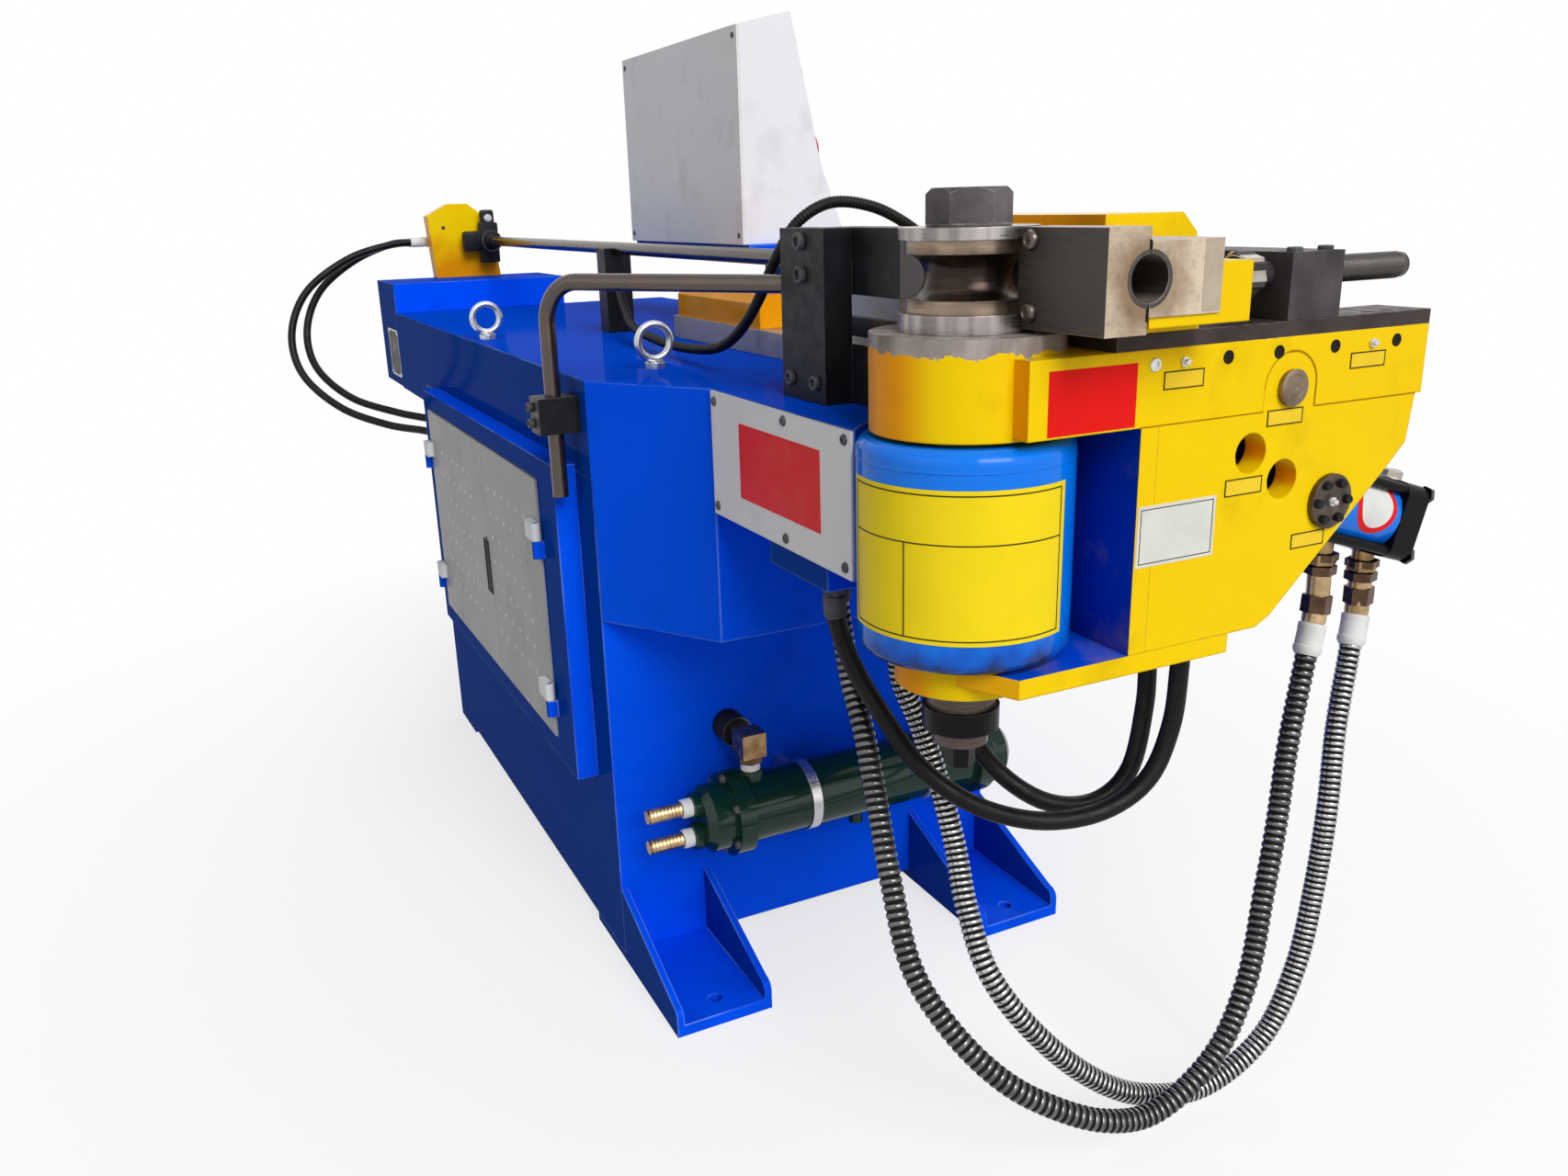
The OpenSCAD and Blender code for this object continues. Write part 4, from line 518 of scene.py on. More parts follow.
class Piece:
    """One mesh piece, gathered from simple forms: points in the frame's metres, sizes in millimetres."""

    def __init__(self, name):
        self.name = name
        self.mesh = bmesh.new()

    def points(self, places):
        return [self.mesh.verts.new(place) for place in places]

    def box(self, low, high, edge=0.0):
        made = bmesh.ops.create_cube(self.mesh, size=1.0)["verts"]
        low, high = Vector(low), Vector(high)
        for v in made:
            v.co = low + Vector(((v.co[i] + 0.5) * (high[i] - low[i]) for i in range(3)))
        if edge:
            rims = list({e for v in made for e in v.link_edges})
            bmesh.ops.bevel(self.mesh, geom=rims, offset=edge * MM, segments=2, affect="EDGES", profile=0.6)
        return self

    def join(self, a, b):
        """Faces between two rings; one of them may be a single point."""
        count = max(len(a), len(b))
        for k in range(count):
            j = (k + 1) % count
            if len(a) == 1:
                self.mesh.faces.new((a[0], b[j], b[k]))
            elif len(b) == 1:
                self.mesh.faces.new((a[k], a[j], b[0]))
            else:
                self.mesh.faces.new((a[k], a[j], b[j], b[k]))

    def skin(self, rings):
        for a, b in zip(rings, rings[1:]):
            self.join(a, b)
        return self

    def lathe(self, base, axis, profile, sides=24, turn=0.0):
        """Rings of (radius, height) about an axis; a third value of 6 makes that ring a hexagon."""
        axis = Vector(axis).normalized()
        across = axis.orthogonal().normalized()
        other = axis.cross(across)
        rings = []
        for radius, height, *hexagon in profile:
            centre = Vector(base) + axis * (height * MM)
            places = []
            for k in range(sides if radius else 1):
                angle = turn + math.tau * k / sides
                r = radius * MM
                if hexagon:
                    r /= math.cos((angle % (math.tau / 6)) - math.pi / 6)
                places.append(centre + r * (math.cos(angle) * across + math.sin(angle) * other))
            rings.append(self.points(places))
        return self.skin(rings)

    def socket_screw(self, base, axis, radius, height):
        hole, rim, floor = radius * 0.55, radius * 0.12, height * 0.35
        return self.lathe(base, axis, [
            (radius, 0), (radius, height - rim), (radius - rim, height), (hole * 1.08, height),
            (hole, height * 0.9, 6), (hole, floor, 6), (0, floor)])

    def pan_screw(self, base, axis, radius, height):
        slot = radius * 0.4
        return self.lathe(base, axis, [
            (radius, 0), (radius, height * 0.35), (radius * 0.8, height * 0.85), (slot, height),
            (slot * 0.8, height * 0.55, 6), (0, height * 0.5)], 18)

    def washer_bolt(self, base, axis, flats, height, washer):
        low, top = height * 0.14, height * 0.88
        self.lathe(base, axis, [(washer, 0), (washer, height * 0.12), (flats * 0.52, low)])
        head = [(flats / 2, low, 6), (flats / 2, top, 6), (flats * 0.46, height), (0, height)]
        return self.lathe(base, axis, head)

    def tube(self, points, radii, sides=16):
        """A closed tube along points; radii gives one radius per point, in metres."""
        rings = []
        for point, radius, (u, v) in zip(points, radii, turning_frames(points)):
            angles = [math.tau * k / sides for k in range(sides)]
            rings.append(self.points(point + radius * (math.cos(a) * u + math.sin(a) * v) for a in angles))
        self.skin(rings)
        self.mesh.faces.new(list(reversed(rings[0])))
        self.mesh.faces.new(rings[-1])
        return self

    def patch(self, rows, thick, normal):
        """A thin plate over two rows of corners, raised along the normal."""
        lift = Vector(normal) * (thick * MM)
        near, far = ([self.points(p + up for p in row) for row in rows] for up in (Vector(), lift))
        return self.plate(near, far, True)

    def plate(self, near, far, flip=False):
        """The two skins of a thin plate, each of two rows, and the rim between them."""
        for (first, second), turned in ((near, flip), (far, False)):
            for k in range(len(first) - 1):
                quad = (first[k], first[k + 1], second[k + 1], second[k])
                self.mesh.faces.new(quad[::-1] if turned else quad)
        self.join(*(first + second[::-1] for first, second in (near, far)))
        return self

    def front_field(self, x, low, high, thick=0.5):
        """A thin field on a face that looks along +X, corners given as (y, z)."""
        return self.box(at(x, *low), at(x + thick, *high))

    def left_field(self, y, low, high, thick=0.5):
        """A thin field on a face that looks along -Y, corners given as (x, z)."""
        return self.box(at(low[0], y - thick, low[1]), at(high[0], y, high[1]))

    def border(self, field, place, low, high, width, thick):
        """A frame of four fields inside two corners."""
        (a0, b0), (a1, b1) = low, high
        for start, end in (((a0, b0), (a1, b0 + width)), ((a0, b1 - width), (a1, b1)),
                           ((a0, b0), (a0 + width, b1)), ((a1 - width, b0), (a1, b1))):
            field(self, place, start, end, thick)
        return self

    def ribbon(self, centre, inner, outer, start, end, thick):
        """A flat arc on a face that looks along +X, angles in degrees from +Y towards +Z."""
        x, y, z = centre
        angles = turns(start, end, max(4, int(abs(end - start) / 6)))
        rows = [[at(x, y + r * math.cos(a), z + r * math.sin(a)) for a in angles] for r in (inner, outer)]
        return self.patch(rows, thick, FRONT)

    def wrap(self, radius, start, end, low, high, thick):
        """A panel laid round the spindle's drum, angles in degrees from +X towards +Y."""
        angles = turns(start, end, max(2, int(abs(end - start) / 3)))
        return self.plate(*([self.points(at(r * math.cos(a), r * math.sin(a), z) for a in angles)
                             for z in (low, high)] for r in (radius, radius + thick)))

    def weld(self, points, size):
        """A lumpy bead along points, its bulges made by slow waves."""
        waves = [1 + 0.18 * math.sin(2.4 * k) + 0.1 * math.sin(5.1 * k) for k in range(len(points))]
        return self.tube(points, [size * MM * wave for wave in waves], 8)

    def done(self, body, material, smooth=40):
        bmesh.ops.recalc_face_normals(self.mesh, faces=self.mesh.faces)
        data = bpy.data.meshes.new(self.name)
        self.mesh.to_mesh(data)
        self.mesh.free()
        data.shade_smooth()
        data.set_sharp_from_angle(angle=math.radians(smooth))
        data.materials.append(MAT[material])
        made = put(self.name, data)
        if body is not None:
            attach(made, body)
        return made


def turning_frames(points):
    """Two cross directions at each point of a path, carried along without twist."""
    last = len(points) - 1
    heading = [(points[min(i + 1, last)] - points[max(i - 1, 0)]).normalized() for i in range(last + 1)]
    u = heading[0].orthogonal().normalized()
    frames = []
    for t in heading:
        u = (u - t * u.dot(t)).normalized()
        frames.append((u, t.cross(u)))
    return frames


def smooth_path(route, steps):
    """A smooth line through the route's points, with even steps along its length, and that length."""
    fine = []
    last = len(route) - 1
    for i in range(last):
        a, b = route[max(i - 1, 0)], route[i]
        c, d = route[i + 1], route[min(i + 2, last)]
        for k in range(SPAN_STEPS):
            t = k / SPAN_STEPS
            fine.append(0.5 * ((2 * b) + (c - a) * t + (2 * a - 5 * b + 4 * c - d) * t * t
                               + (3 * b - a - 3 * c + d) * t * t * t))
    fine.append(route[-1])
    run = [0.0]
    for p, q in zip(fine, fine[1:]):
        run.append(run[-1] + (q - p).length)
    line, j = [], 0
    for k in range(steps):
        want = run[-1] * k / (steps - 1)
        while j < len(run) - 2 and run[j + 1] < want:
            j += 1
        span = run[j + 1] - run[j]
        line.append(fine[j].lerp(fine[j + 1], (want - run[j]) / span if span else 0.0))
    return line, run[-1]


# Hoses


def path_of(*points):
    return [at(*point) for point in points]


ARMOUR_A = path_of(
    (-190, -30, 636), (-190, -30, 600), (-172, -27, 520), (-140, -28, 464), (-105, -32, 393),
    (-65, -40, 327), (-20, -44, 254), (15, -27, 203), (50, 7, 153), (75, 53, 113), (95, 125, 74),
    (95, 203, 57), (90, 286, 95), (75, 342, 162), (55, 378, 248), (40, 405, 325), (25, 428, 409),
    (10, 458, 492), (0, 480, 560), (0, 480, 600))
ARMOUR_B = path_of(
    (-150, 20, 636), (-150, 20, 600), (-148, 22, 520), (-130, 36, 464), (-105, 44, 407), (-75, 47, 341),
    (-40, 40, 284), (0, 41, 227), (30, 75, 165), (50, 136, 98), (60, 208, 50), (62, 302, 26), (62, 390, 60),
    (58, 440, 139), (48, 470, 239), (40, 486, 329), (25, 504, 415), (10, 530, 490), (0, 548, 545),
    (0, 548, 582))
ARM_A = path_of(
    (-150, -55, 636), (-150, -55, 600), (-142, -40, 545), (-115, -15, 485), (-80, 8, 438), (-40, 47, 404),
    (0, 100, 390), (20, 165, 393), (27, 220, 420), (25, 250, 474), (25, 256, 540), (25, 256, 595),
    (25, 256, 625))
ARM_B = path_of(
    (-205, 65, 636), (-205, 65, 600), (-180, 72, 535), (-125, 80, 472), (-70, 92, 425), (-30, 130, 392),
    (-15, 185, 384), (-12, 230, 412), (-20, 254, 480), (-22, 256, 540), (-22, 256, 595), (-22, 256, 625))
MANDREL_A = path_of(
    (-2050, -53, 947), (-2050, -85, 947), (-2046, -145, 944), (-2036, -241, 917), (-2020, -336, 854),
    (-1995, -381, 769), (-1955, -374, 684), (-1895, -313, 615), (-1825, -233, 580), (-1740, -169, 572),
    (-1660, -140, 570), (-1600, -135, 570), (-1560, -135, 570))
MANDREL_B = path_of(
    (-2095, -53, 947), (-2095, -85, 947), (-2092, -140, 943), (-2080, -225, 910), (-2062, -305, 850),
    (-2035, -345, 770), (-1992, -340, 692), (-1928, -285, 630), (-1850, -205, 600), (-1750, -135, 588),
    (-1660, -102, 576), (-1600, -95, 570), (-1560, -95, 570))
CONDUIT = path_of(
    (-1090, 45, 890), (-1065, 45, 890), (-960, 20, 855), (-870, 0, 838), (-760, -8, 830), (-665, -10, 828),
    (-560, -14, 834), (-498, -15, 846), (-440, -18, 870), (-385, -20, 908), (-340, -20, 952),
    (-322, -2, 990), (-318, 38, 1010), (-316, 88, 1005), (-315, 133, 985), (-315, 173, 957),
    (-315, 210, 937), (-315, 245, 930), (-315, 265, 930))
# Diameters, and the height and pitch of wound ribs, in metres.
ARMOUR_D, ARM_D, MANDREL_D, CONDUIT_D = 0.025, 0.020, 0.016, 0.013
NEAR_RIBS, FAR_RIBS, CONDUIT_RIBS = (0.0024, 0.0086), (0.0020, 0.0070), (0.0008, 0.004)
HOSE_SIDES = 16
RINGS_PER_RIB = 4
MEASURE_STEPS, SLEEVE_STEPS = 400, 1200
# Lengths at a moving hose's two ends that turn_by_length counts as turning with their own body alone.
ROOT_HELD, TIP_HELD = 0.045, 0.105
ARM_MOVES = ("frame", "swing_arm")


def turn_by_length(rings, length):
    """Work out each ring's share of a hose's turn between its two bodies, evenly over its length with its
    end fittings held; the shares are not kept or applied.
    """
    span = length - ROOT_HELD - TIP_HELD
    shares = []
    for k in range(rings):
        t = min(1.0, max(0.0, (length * k / (rings - 1) - ROOT_HELD) / span))
        shares += [t * t * (3 - 2 * t)] * HOSE_SIDES


def hose(name, route, diameter, material, nodes, moves=None, ribs=None, groove=None):
    """A hose along its route; ribs gives its wound ribs' height and pitch, groove the material between them,
    and moves, when given, bakes it in place, held by no body; the blend between two bodies is not
    applied."""
    length = smooth_path(route, MEASURE_STEPS)[1]
    radius = diameter / 2
    if ribs:
        rib, pitch = ribs
        line = smooth_path(route, int(length / pitch) * RINGS_PER_RIB + 1)[0]
        steps = (radius - rib, radius - rib * 0.25, radius, radius - rib * 0.25)
        radii = [steps[i % RINGS_PER_RIB] for i in range(len(line))]
    else:
        line = smooth_path(route, int(length / (diameter * 0.5)))[0]
        radii = [radius] * len(line)
    made = Piece(name).tube(line, radii, HOSE_SIDES).done(None, material, 60)
    # Painted shade: the faces between the ribs' crowns take the groove material.
    if groove:
        made.data.materials.append(MAT[groove])
        for face in made.data.polygons[:-2]:
            if face.index // HOSE_SIDES % RINGS_PER_RIB in (0, RINGS_PER_RIB - 1):
                face.material_index = 1
    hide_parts(*nodes)
    if moves:
        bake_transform(made)
        turn_by_length(len(line), length)
    else:
        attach(made, "frame")


hose("armoured_hose_near", ARMOUR_A, ARMOUR_D, "dark_armour", ["armoured_hose_a"], ARM_MOVES, NEAR_RIBS,
     "socket")
hose("armoured_hose_far", ARMOUR_B, ARMOUR_D, "armour", ["armoured_hose_b"], ARM_MOVES, FAR_RIBS, "socket")
hose("arm_hose_near", ARM_A, ARM_D, "rubber", ["arm_hoses"], ARM_MOVES)
hose("arm_hose_far", ARM_B, ARM_D, "rubber", ["arm_hoses"], ARM_MOVES)
hose("mandrel_hose_near", MANDREL_A, MANDREL_D, "rubber", ["mandrel_hoses"])
hose("mandrel_hose_far", MANDREL_B, MANDREL_D, "rubber", ["mandrel_hoses"])
hose("sensor_cable", CONDUIT, CONDUIT_D, "rubber", ["sensor_conduit"], None, CONDUIT_RIBS)


# Details: places and sizes in millimetres from the spindle's foot


def spread(name, body, material, form, places, axis, *sizes):
    """One piece of the same form at several places."""
    piece = Piece(name)
    for place in places:
        form(piece, at(*place), axis, *sizes)
    piece.done(body, material)


def six_round(centre, radius, first=0):
    """Six places round a centre, the first at an angle in degrees."""
    angles = [math.radians(60 * k + first) for k in range(6)]
    return [(centre[0] + radius * math.cos(a), centre[1] + radius * math.sin(a)) for a in angles]


ARM, SLIDE = "swing_arm", "clamp_slide"
ARM_FACE, ARM_CAPS, ARM_SCREW_Z = 107, 112, 870
PIN, TRUNNION = (287, 837), (351, 721)
LABELS = (((132, 847), (178, 863)), ((260, 802), (305, 817)), ((214, 741), (260, 757)),
          ((306, 678), (350, 693)), ((362, 847), (409, 862)))
# Painted shadow lines where the arm's face steps: strips between (y, z) corners, and arcs round the pin as
# radii and angles, the first one wider.
STEP_SHADOWS = (((108, 815.6), (254, 816.8)), ((320, 815.4), (459, 816.8)), ((318.2, 816), (320.4, 837)))
PIN_STEP_SHADOWS = ((31.4, 33.6, 0, 100), (32.6, 33.4, 100, 180))
STEP_SHADOW_THICK = 0.25
RAIL_SOCKET = [(6.2, 0), (6.2, 0.5), (4.6, 0.7), (3.6, 0.3, 6), (0, 0.3)]
NIPPLE = [(4.2, 0, 6), (4.2, 2.4, 6), (2.6, 2.6), (2.2, 4.2), (2.9, 5.2), (2.3, 6.6), (0, 7)]
PIN_CAP = [(16.6, 0), (16.6, 0.3), (15.4, 0.8), (11.4, 0.8), (11.0, 0.3), (8.2, 0.3), (7.8, 0.8), (3.2, 0.9),
           (2.2, 0.3), (0, 0.3)]
TRUNNION_CAP = [(26.6, 0), (26.6, 0.3), (25.2, 0.8), (8.6, 0.8), (8.0, 0.3), (0, 0.3)]
TRUNNION_BOLT = [(4.6, 0), (4.6, 4.4), (3.8, 5.4), (2.4, 5.4), (2.2, 5.15, 6), (0, 5.15)]


def dress_arm():
    Piece("arm_red_field").front_field(ARM_FACE, (8, 818), (102, 873)).done(ARM, "red_field")
    fields, lines = Piece("arm_labels"), Piece("arm_label_lines")
    for low, high in LABELS:
        fields.front_field(ARM_FACE, low, high, 0.4)
        lines.border(Piece.front_field, ARM_FACE, low, high, 1.1, 0.7)
    fields.done(ARM, "label")
    lines.done(ARM, "line")
    Piece("arm_notice").front_field(ARM_FACE, (112, 688), (204, 745)).done(ARM, "pale_panel")
    rim = Piece("arm_notice_frame").border(Piece.front_field, ARM_FACE, (115, 691), (201, 742), 0.8, 0.75)
    rim.done(ARM, "line")

    # Painted shadow lines along the steps of the arm's face.
    step_shadows = Piece("arm_step_shadows")
    for low, high in STEP_SHADOWS:
        step_shadows.front_field(ARM_FACE, low, high, STEP_SHADOW_THICK)
    for arc in PIN_STEP_SHADOWS:
        step_shadows.ribbon((ARM_FACE, *PIN), *arc, STEP_SHADOW_THICK)
    step_shadows.done(ARM, "step_shadow")

    # Painted shade: near-black discs for the rail screws' sockets.
    sockets = [(ARM_FACE, y, ARM_SCREW_Z) for y in (206, 268, 340, 423)]
    spread("arm_rail_sockets", ARM, "socket", Piece.lathe, sockets, FRONT, RAIL_SOCKET)
    spread("arm_screws", ARM, "plate", Piece.socket_screw, [(ARM_FACE, 121, ARM_SCREW_Z)], FRONT, 6, 2)
    nipples = [(ARM_FACE, 154, ARM_SCREW_Z), (ARM_FACE, 389.5, 869.5), (ARM_CAPS, *TRUNNION)]
    spread("arm_grease_nipples", ARM, "plate", Piece.lathe, nipples, FRONT, NIPPLE)
    caps = Piece("arm_pin_faces").lathe(at(ARM_CAPS, *PIN), FRONT, PIN_CAP, 40)
    caps.lathe(at(ARM_CAPS, *TRUNNION), FRONT, TRUNNION_CAP, 48).done(ARM, "bronze")
    bolts = Piece("trunnion_bolts")
    for side in (1, -1):
        for place in six_round(TRUNNION, 19.44):
            bolts.lathe(at(side * ARM_CAPS, *place), (side, 0, 0), TRUNNION_BOLT, 18)
    bolts.done(ARM, "black")

    beads = Piece("arm_welds")
    for x in (-102.96, 102.96):
        beads.weld([at(x, 131, z) for z in range(618, 812, 4)], 2.4)
    beads.done(ARM, "blue")


TILT = math.radians(17.4)
AXIS = Vector((0, math.cos(TILT), -math.sin(TILT)))
UPWARD = Vector((0, math.sin(TILT), math.cos(TILT)))
BARREL_R, BARREL_ENDS, BARREL_SKIN = 42.0, (18.5, 205.6), (-1, 0.35)
STICKER_AT, STICKER_TURN, STICKER_LIFT = 164, math.radians(15), 0.6
STICKER_SIDES, STICKER_STEPS = 40, 8
TIE_RODS = (-34.5, 34.5)
TIE_ROD_NUT = [(9, 0, 6), (9, 5.2, 6), (8, 6.2), (6.2, 6.2), (5.4, 7), (0, 7)]
PORT_PLUG = [(13, 0), (13, 2), (10.5, 2.4, 6), (10.5, 10, 6), (8.4, 12), (0, 12.6)]
FITTING_HEXES = [(14, 0), (15.4, 1, 6), (15.4, 11, 6), (12.6, 12), (12.4, 16), (16, 17, 6), (16, 25, 6),
                 (12.4, 26)]


def on_cylinder(along, side, up):
    """A point along the clamp cylinder's axis from its trunnion, to +X, and upward across it."""
    return at(side, *TRUNNION) + (AXIS * along + UPWARD * up) * MM


def round_sticker(name, material, inner, outer):
    """A disc, or a ring, that lies on the barrel."""
    piece = Piece(name)
    reach = BARREL_R + STICKER_LIFT
    rings = []
    for step in range(STICKER_STEPS + 1):
        r = inner + (outer - inner) * step / STICKER_STEPS
        places = []
        for k in range(STICKER_SIDES):
            a = math.tau * k / STICKER_SIDES
            along, turn = STICKER_AT + r * math.cos(a), STICKER_TURN + r * math.sin(a) / BARREL_R
            places.append(on_cylinder(along, reach * math.cos(turn), reach * math.sin(turn)))
        rings.append(piece.points(places))
    piece.skin(rings)
    if inner < 1:
        piece.mesh.faces.new(rings[0])
    piece.done(ARM, material)


def dress_clamp_cylinder():
    inner, outer = (BARREL_R + skin for skin in BARREL_SKIN)
    start, end = BARREL_ENDS
    barrel = [(inner, start), (outer, start), (outer, end), (inner, end), (inner, start)]
    Piece("cylinder_barrel").lathe(on_cylinder(0, 0, 0), AXIS, barrel, 64).done(ARM, "azure")
    round_sticker("cylinder_sticker", "white", 0.2, 26)
    round_sticker("cylinder_sticker_ring", "red_field", 26, 33)
    nuts = Piece("tie_rod_nuts")
    for x in TIE_RODS:
        for up in TIE_RODS:
            nuts.lathe(on_cylinder(242, x, up), AXIS, TIE_ROD_NUT)
    nuts.done(ARM, "bolt")
    Piece("cylinder_port_plug").lathe(on_cylinder(224, 0, 43), UPWARD, PORT_PLUG).done(ARM, "milled")
    ports = [(0, 480, 599), (0, 548, 581)]
    spread("cylinder_fitting_hexes", ARM, "hex_brown", Piece.lathe, ports, UP, FITTING_HEXES)


UNION_R, UNION_NUT_R, UNION_END_R = 12.9, 13.4, 12.8
HEXAGON = [(0, 13), (1.5, 16.4), (21.5, 16.4), (23, 13.4)]
FERRULE = [(0, 12.8), (0.6, 15.2), (7, 15.4), (8, 15), (26, 15.2), (27, 15.9), (32, 15.9), (37, 12.8)]
ROOT_SLEEVE = [(0, 13.4), (2, 15), (12, 15), (14, 14.2), (34, 14.2), (36, 13)]
HOSE_NUT = [(0, 11), (1, 13), (11, 13), (13, 11.6), (15, 11.6)]
HOSE_CUFF = [(14, 11), (15, 12.2), (36, 12.2), (38, 10.4)]
MANDREL_NUT = [(0, 8.6), (1, 11), (12, 11), (14, 9.2)]
MANDREL_CUFF = [(14, 8.8), (15, 10), (44, 10), (46, 8.4)]
MANDREL_GLAND = [(0, 9), (1, 13), (8, 13), (10, 10), (16, 10), (17, 8.4)]


def sleeve(name, route, body, material, profile, sides=20, from_end=True):
    """A sleeve of (distance, radius) steps along one end of a hose, held by that end's body."""
    line, length = smooth_path(route, SLEEVE_STEPS)
    if from_end:
        line = line[::-1]
    step = length / (len(line) - 1)
    points = []
    for distance, radius in profile:
        place = min(len(line) - 2, int(distance * MM / step))
        points.append(line[place].lerp(line[place + 1], distance * MM / step - place))
    Piece(name).tube(points, [radius * MM for distance, radius in profile], sides).done(body, material, 35)


def dress_hoses():
    for tag, route, nut, end in (("near", ARMOUR_A, 25, 59), ("far", ARMOUR_B, 7, 42)):
        union = [(0, UNION_R), (nut, UNION_R), (nut + 1, UNION_NUT_R), (end - 4, UNION_NUT_R),
                 (end, UNION_END_R)]
        sleeve(f"armour_union_{tag}", route, ARM, "gold", union)
        hexagon = [(nut + distance, radius) for distance, radius in HEXAGON]
        sleeve(f"armour_hexagon_{tag}", route, ARM, "hex_brown", hexagon, 6)
        ferrule = [(end + distance, radius) for distance, radius in FERRULE]
        sleeve(f"armour_ferrule_{tag}", route, ARM, "white", ferrule, 28)
        sleeve(f"armour_root_{tag}", route, "frame", "bolt", ROOT_SLEEVE, from_end=False)
    for tag, route in (("near", ARM_A), ("far", ARM_B)):
        for where, body, nut, from_end in (("arm", ARM, "plate", True), ("root", "frame", "bolt", False)):
            sleeve(f"arm_hose_nut_{where}_{tag}", route, body, nut, HOSE_NUT, 6, from_end)
            sleeve(f"arm_hose_cuff_{where}_{tag}", route, body, "bolt", HOSE_CUFF, 20, from_end)
    for tag, route in (("near", MANDREL_A), ("far", MANDREL_B)):
        sleeve(f"mandrel_nut_{tag}", route, "frame", "gold", MANDREL_NUT, 6, False)
        sleeve(f"mandrel_cuff_{tag}", route, "frame", "white", MANDREL_CUFF, 20, False)
        sleeve(f"mandrel_gland_{tag}", route, "frame", "bolt", MANDREL_GLAND)


CLAMP_DROP = 11
TUBE_R, HALF_STEPS = 19, 16
TOOL_FACE = 165
HOLE_RIM = (19.2, 22.6)
GRIP_BOLT = [(8.6, 0), (8.6, 2.6), (7.6, 4.7), (4.4, 5.6), (3.8, 4.7, 6), (0, 4.7)]
SCREW_LINE = (75, 938)
THREADS, THREAD_PITCH = ((170, 233), (344, 450)), 3
THREAD_FORM = ((12.1, 0.2), (12.9, 1.2), (12.9, 1.8), (12.1, 2.8))
THREAD_ROOT, THREAD_SIDES = 11.6, 28
SCREW_TIP = [(12.2, 0), (12.2, 3), (10.4, 6), (6, 6.6), (0, 6.6)]
SCREW_NUT = [(17, -0.6), (18.4, 0.4, 6), (18.4, 21.6, 6), (17, 22.6), (12.4, 22.6)]
RAIL_BOLT = [(6.4, 0), (6.4, 0.35), (4.4, 0.45), (3.4, 0.2, 6), (0, 0.2)]


def clamp_block():
    """The moving clamp die, its top below the grip block's, with its half of the tube's groove."""
    low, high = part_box("clamp_die")
    y0, y1, z0, z1 = low[1], high[1], low[2], high[2] - CLAMP_DROP * MM
    radius = TUBE_R * MM
    half = math.acos((y0 - TUBE_LINE[0]) / radius)
    outline = [(y0, z0), (y1, z0), (y1, z1), (y0, z1)]
    for k in range(2 * HALF_STEPS + 1):
        angle = half * (1 - k / HALF_STEPS)
        outline.append((TUBE_LINE[0] + radius * math.cos(angle), TUBE_LINE[1] + radius * math.sin(angle)))
    piece = Piece("clamp_die_block")
    ends = [piece.points((x, y, z) for y, z in outline) for x in (low[0], high[0])]
    piece.join(*ends)
    for ring in ends:
        piece.mesh.faces.new(ring)
    made = piece.done(SLIDE, "tool")
    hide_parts("clamp_die")


def dress_tools():
    clamp_block()
    hole = (TOOL_FACE, *TUBE)
    Piece("grip_hole_rim").ribbon(hole, *HOLE_RIM, 93, 267, 0.3).done(ARM, "dark_tool")
    Piece("clamp_hole_rim").ribbon(hole, *HOLE_RIM, -87, 87, 0.3).done(SLIDE, "dark_tool")
    # Painted shade: near-black strips for the grip block's slots.
    slot_shades = Piece("grip_slot_shades").front_field(TOOL_FACE, (54.4, 968.5), (56.4, 977), 0.25)
    slot_shades.front_field(TOOL_FACE, (54.4, 914), (56.4, 925.5), 0.25).done(ARM, "socket")
    Piece("clamp_stain").front_field(TOOL_FACE, (112.5, 918.5), (132.2, 975.6), 0.2).done(SLIDE, "stain")
    heads = [(71, 14, z) for z in (918, 976.5)]
    spread("grip_bolt_heads", ARM, "nut_steel", Piece.lathe, heads, LEFT, GRIP_BOLT)

    x, z = SCREW_LINE
    thread = Piece("adjusting_thread")
    for start, end in THREADS:
        profile = [(THREAD_ROOT, 0)]
        for k in range((end - start) // THREAD_PITCH):
            profile += [(radius, k * THREAD_PITCH + height) for radius, height in THREAD_FORM]
        profile.append((THREAD_ROOT, end - start))
        thread.lathe(at(x, start, z), RIGHT, profile, THREAD_SIDES)
    thread.lathe(at(x, 449, z), RIGHT, SCREW_TIP, THREAD_SIDES).done(SLIDE, "dark_tool")
    nut = Piece("adjusting_nut_face").lathe(at(x, 236, z), RIGHT, SCREW_NUT, turn=math.radians(30))
    nut.done(SLIDE, "milled")

    screws = Piece("wiper_column_screws")
    for x, z, radius, height in ((-241, 973, 9, 6), (-240, 940, 9, 6), (-268, 832, 8, 5), (-212, 832, 8, 5)):
        screws.socket_screw(at(x, -40, z), LEFT, radius, height)
    screws.done("frame", "bolt")
    block = [(x, y, 957.3) for x in (-40, 96) for y in (288, 327)]
    spread("screw_block_bolts", SLIDE, "bolt", Piece.socket_screw, block, UP, 7, 4)
    rails = [(x, y, 897) for x in (-92, 92) for y in (398, 424, 448)]
    spread("rail_bolts", ARM, "bolt", Piece.lathe, rails, UP, RAIL_BOLT)


# Lines on the drum's panel: angles in degrees round the drum, then heights.
DRUM_LINES = ((-106.5, 21.5, 641, 642.2), (-106.5, 21.5, 770.8, 772), (-106.5, 21.5, 727.4, 728.6),
              (-106.5, -105.8, 641, 772), (20.8, 21.5, 641, 772), (-65.7, -65, 641, 728))
DRUM_BEAD = [(99.9, 0), (100.5, 0.6), (100.5, 2.2), (99.9, 2.8)]
PANEL_R, LINE_R = 100.05, 100.3
NOSE_FACE = -90


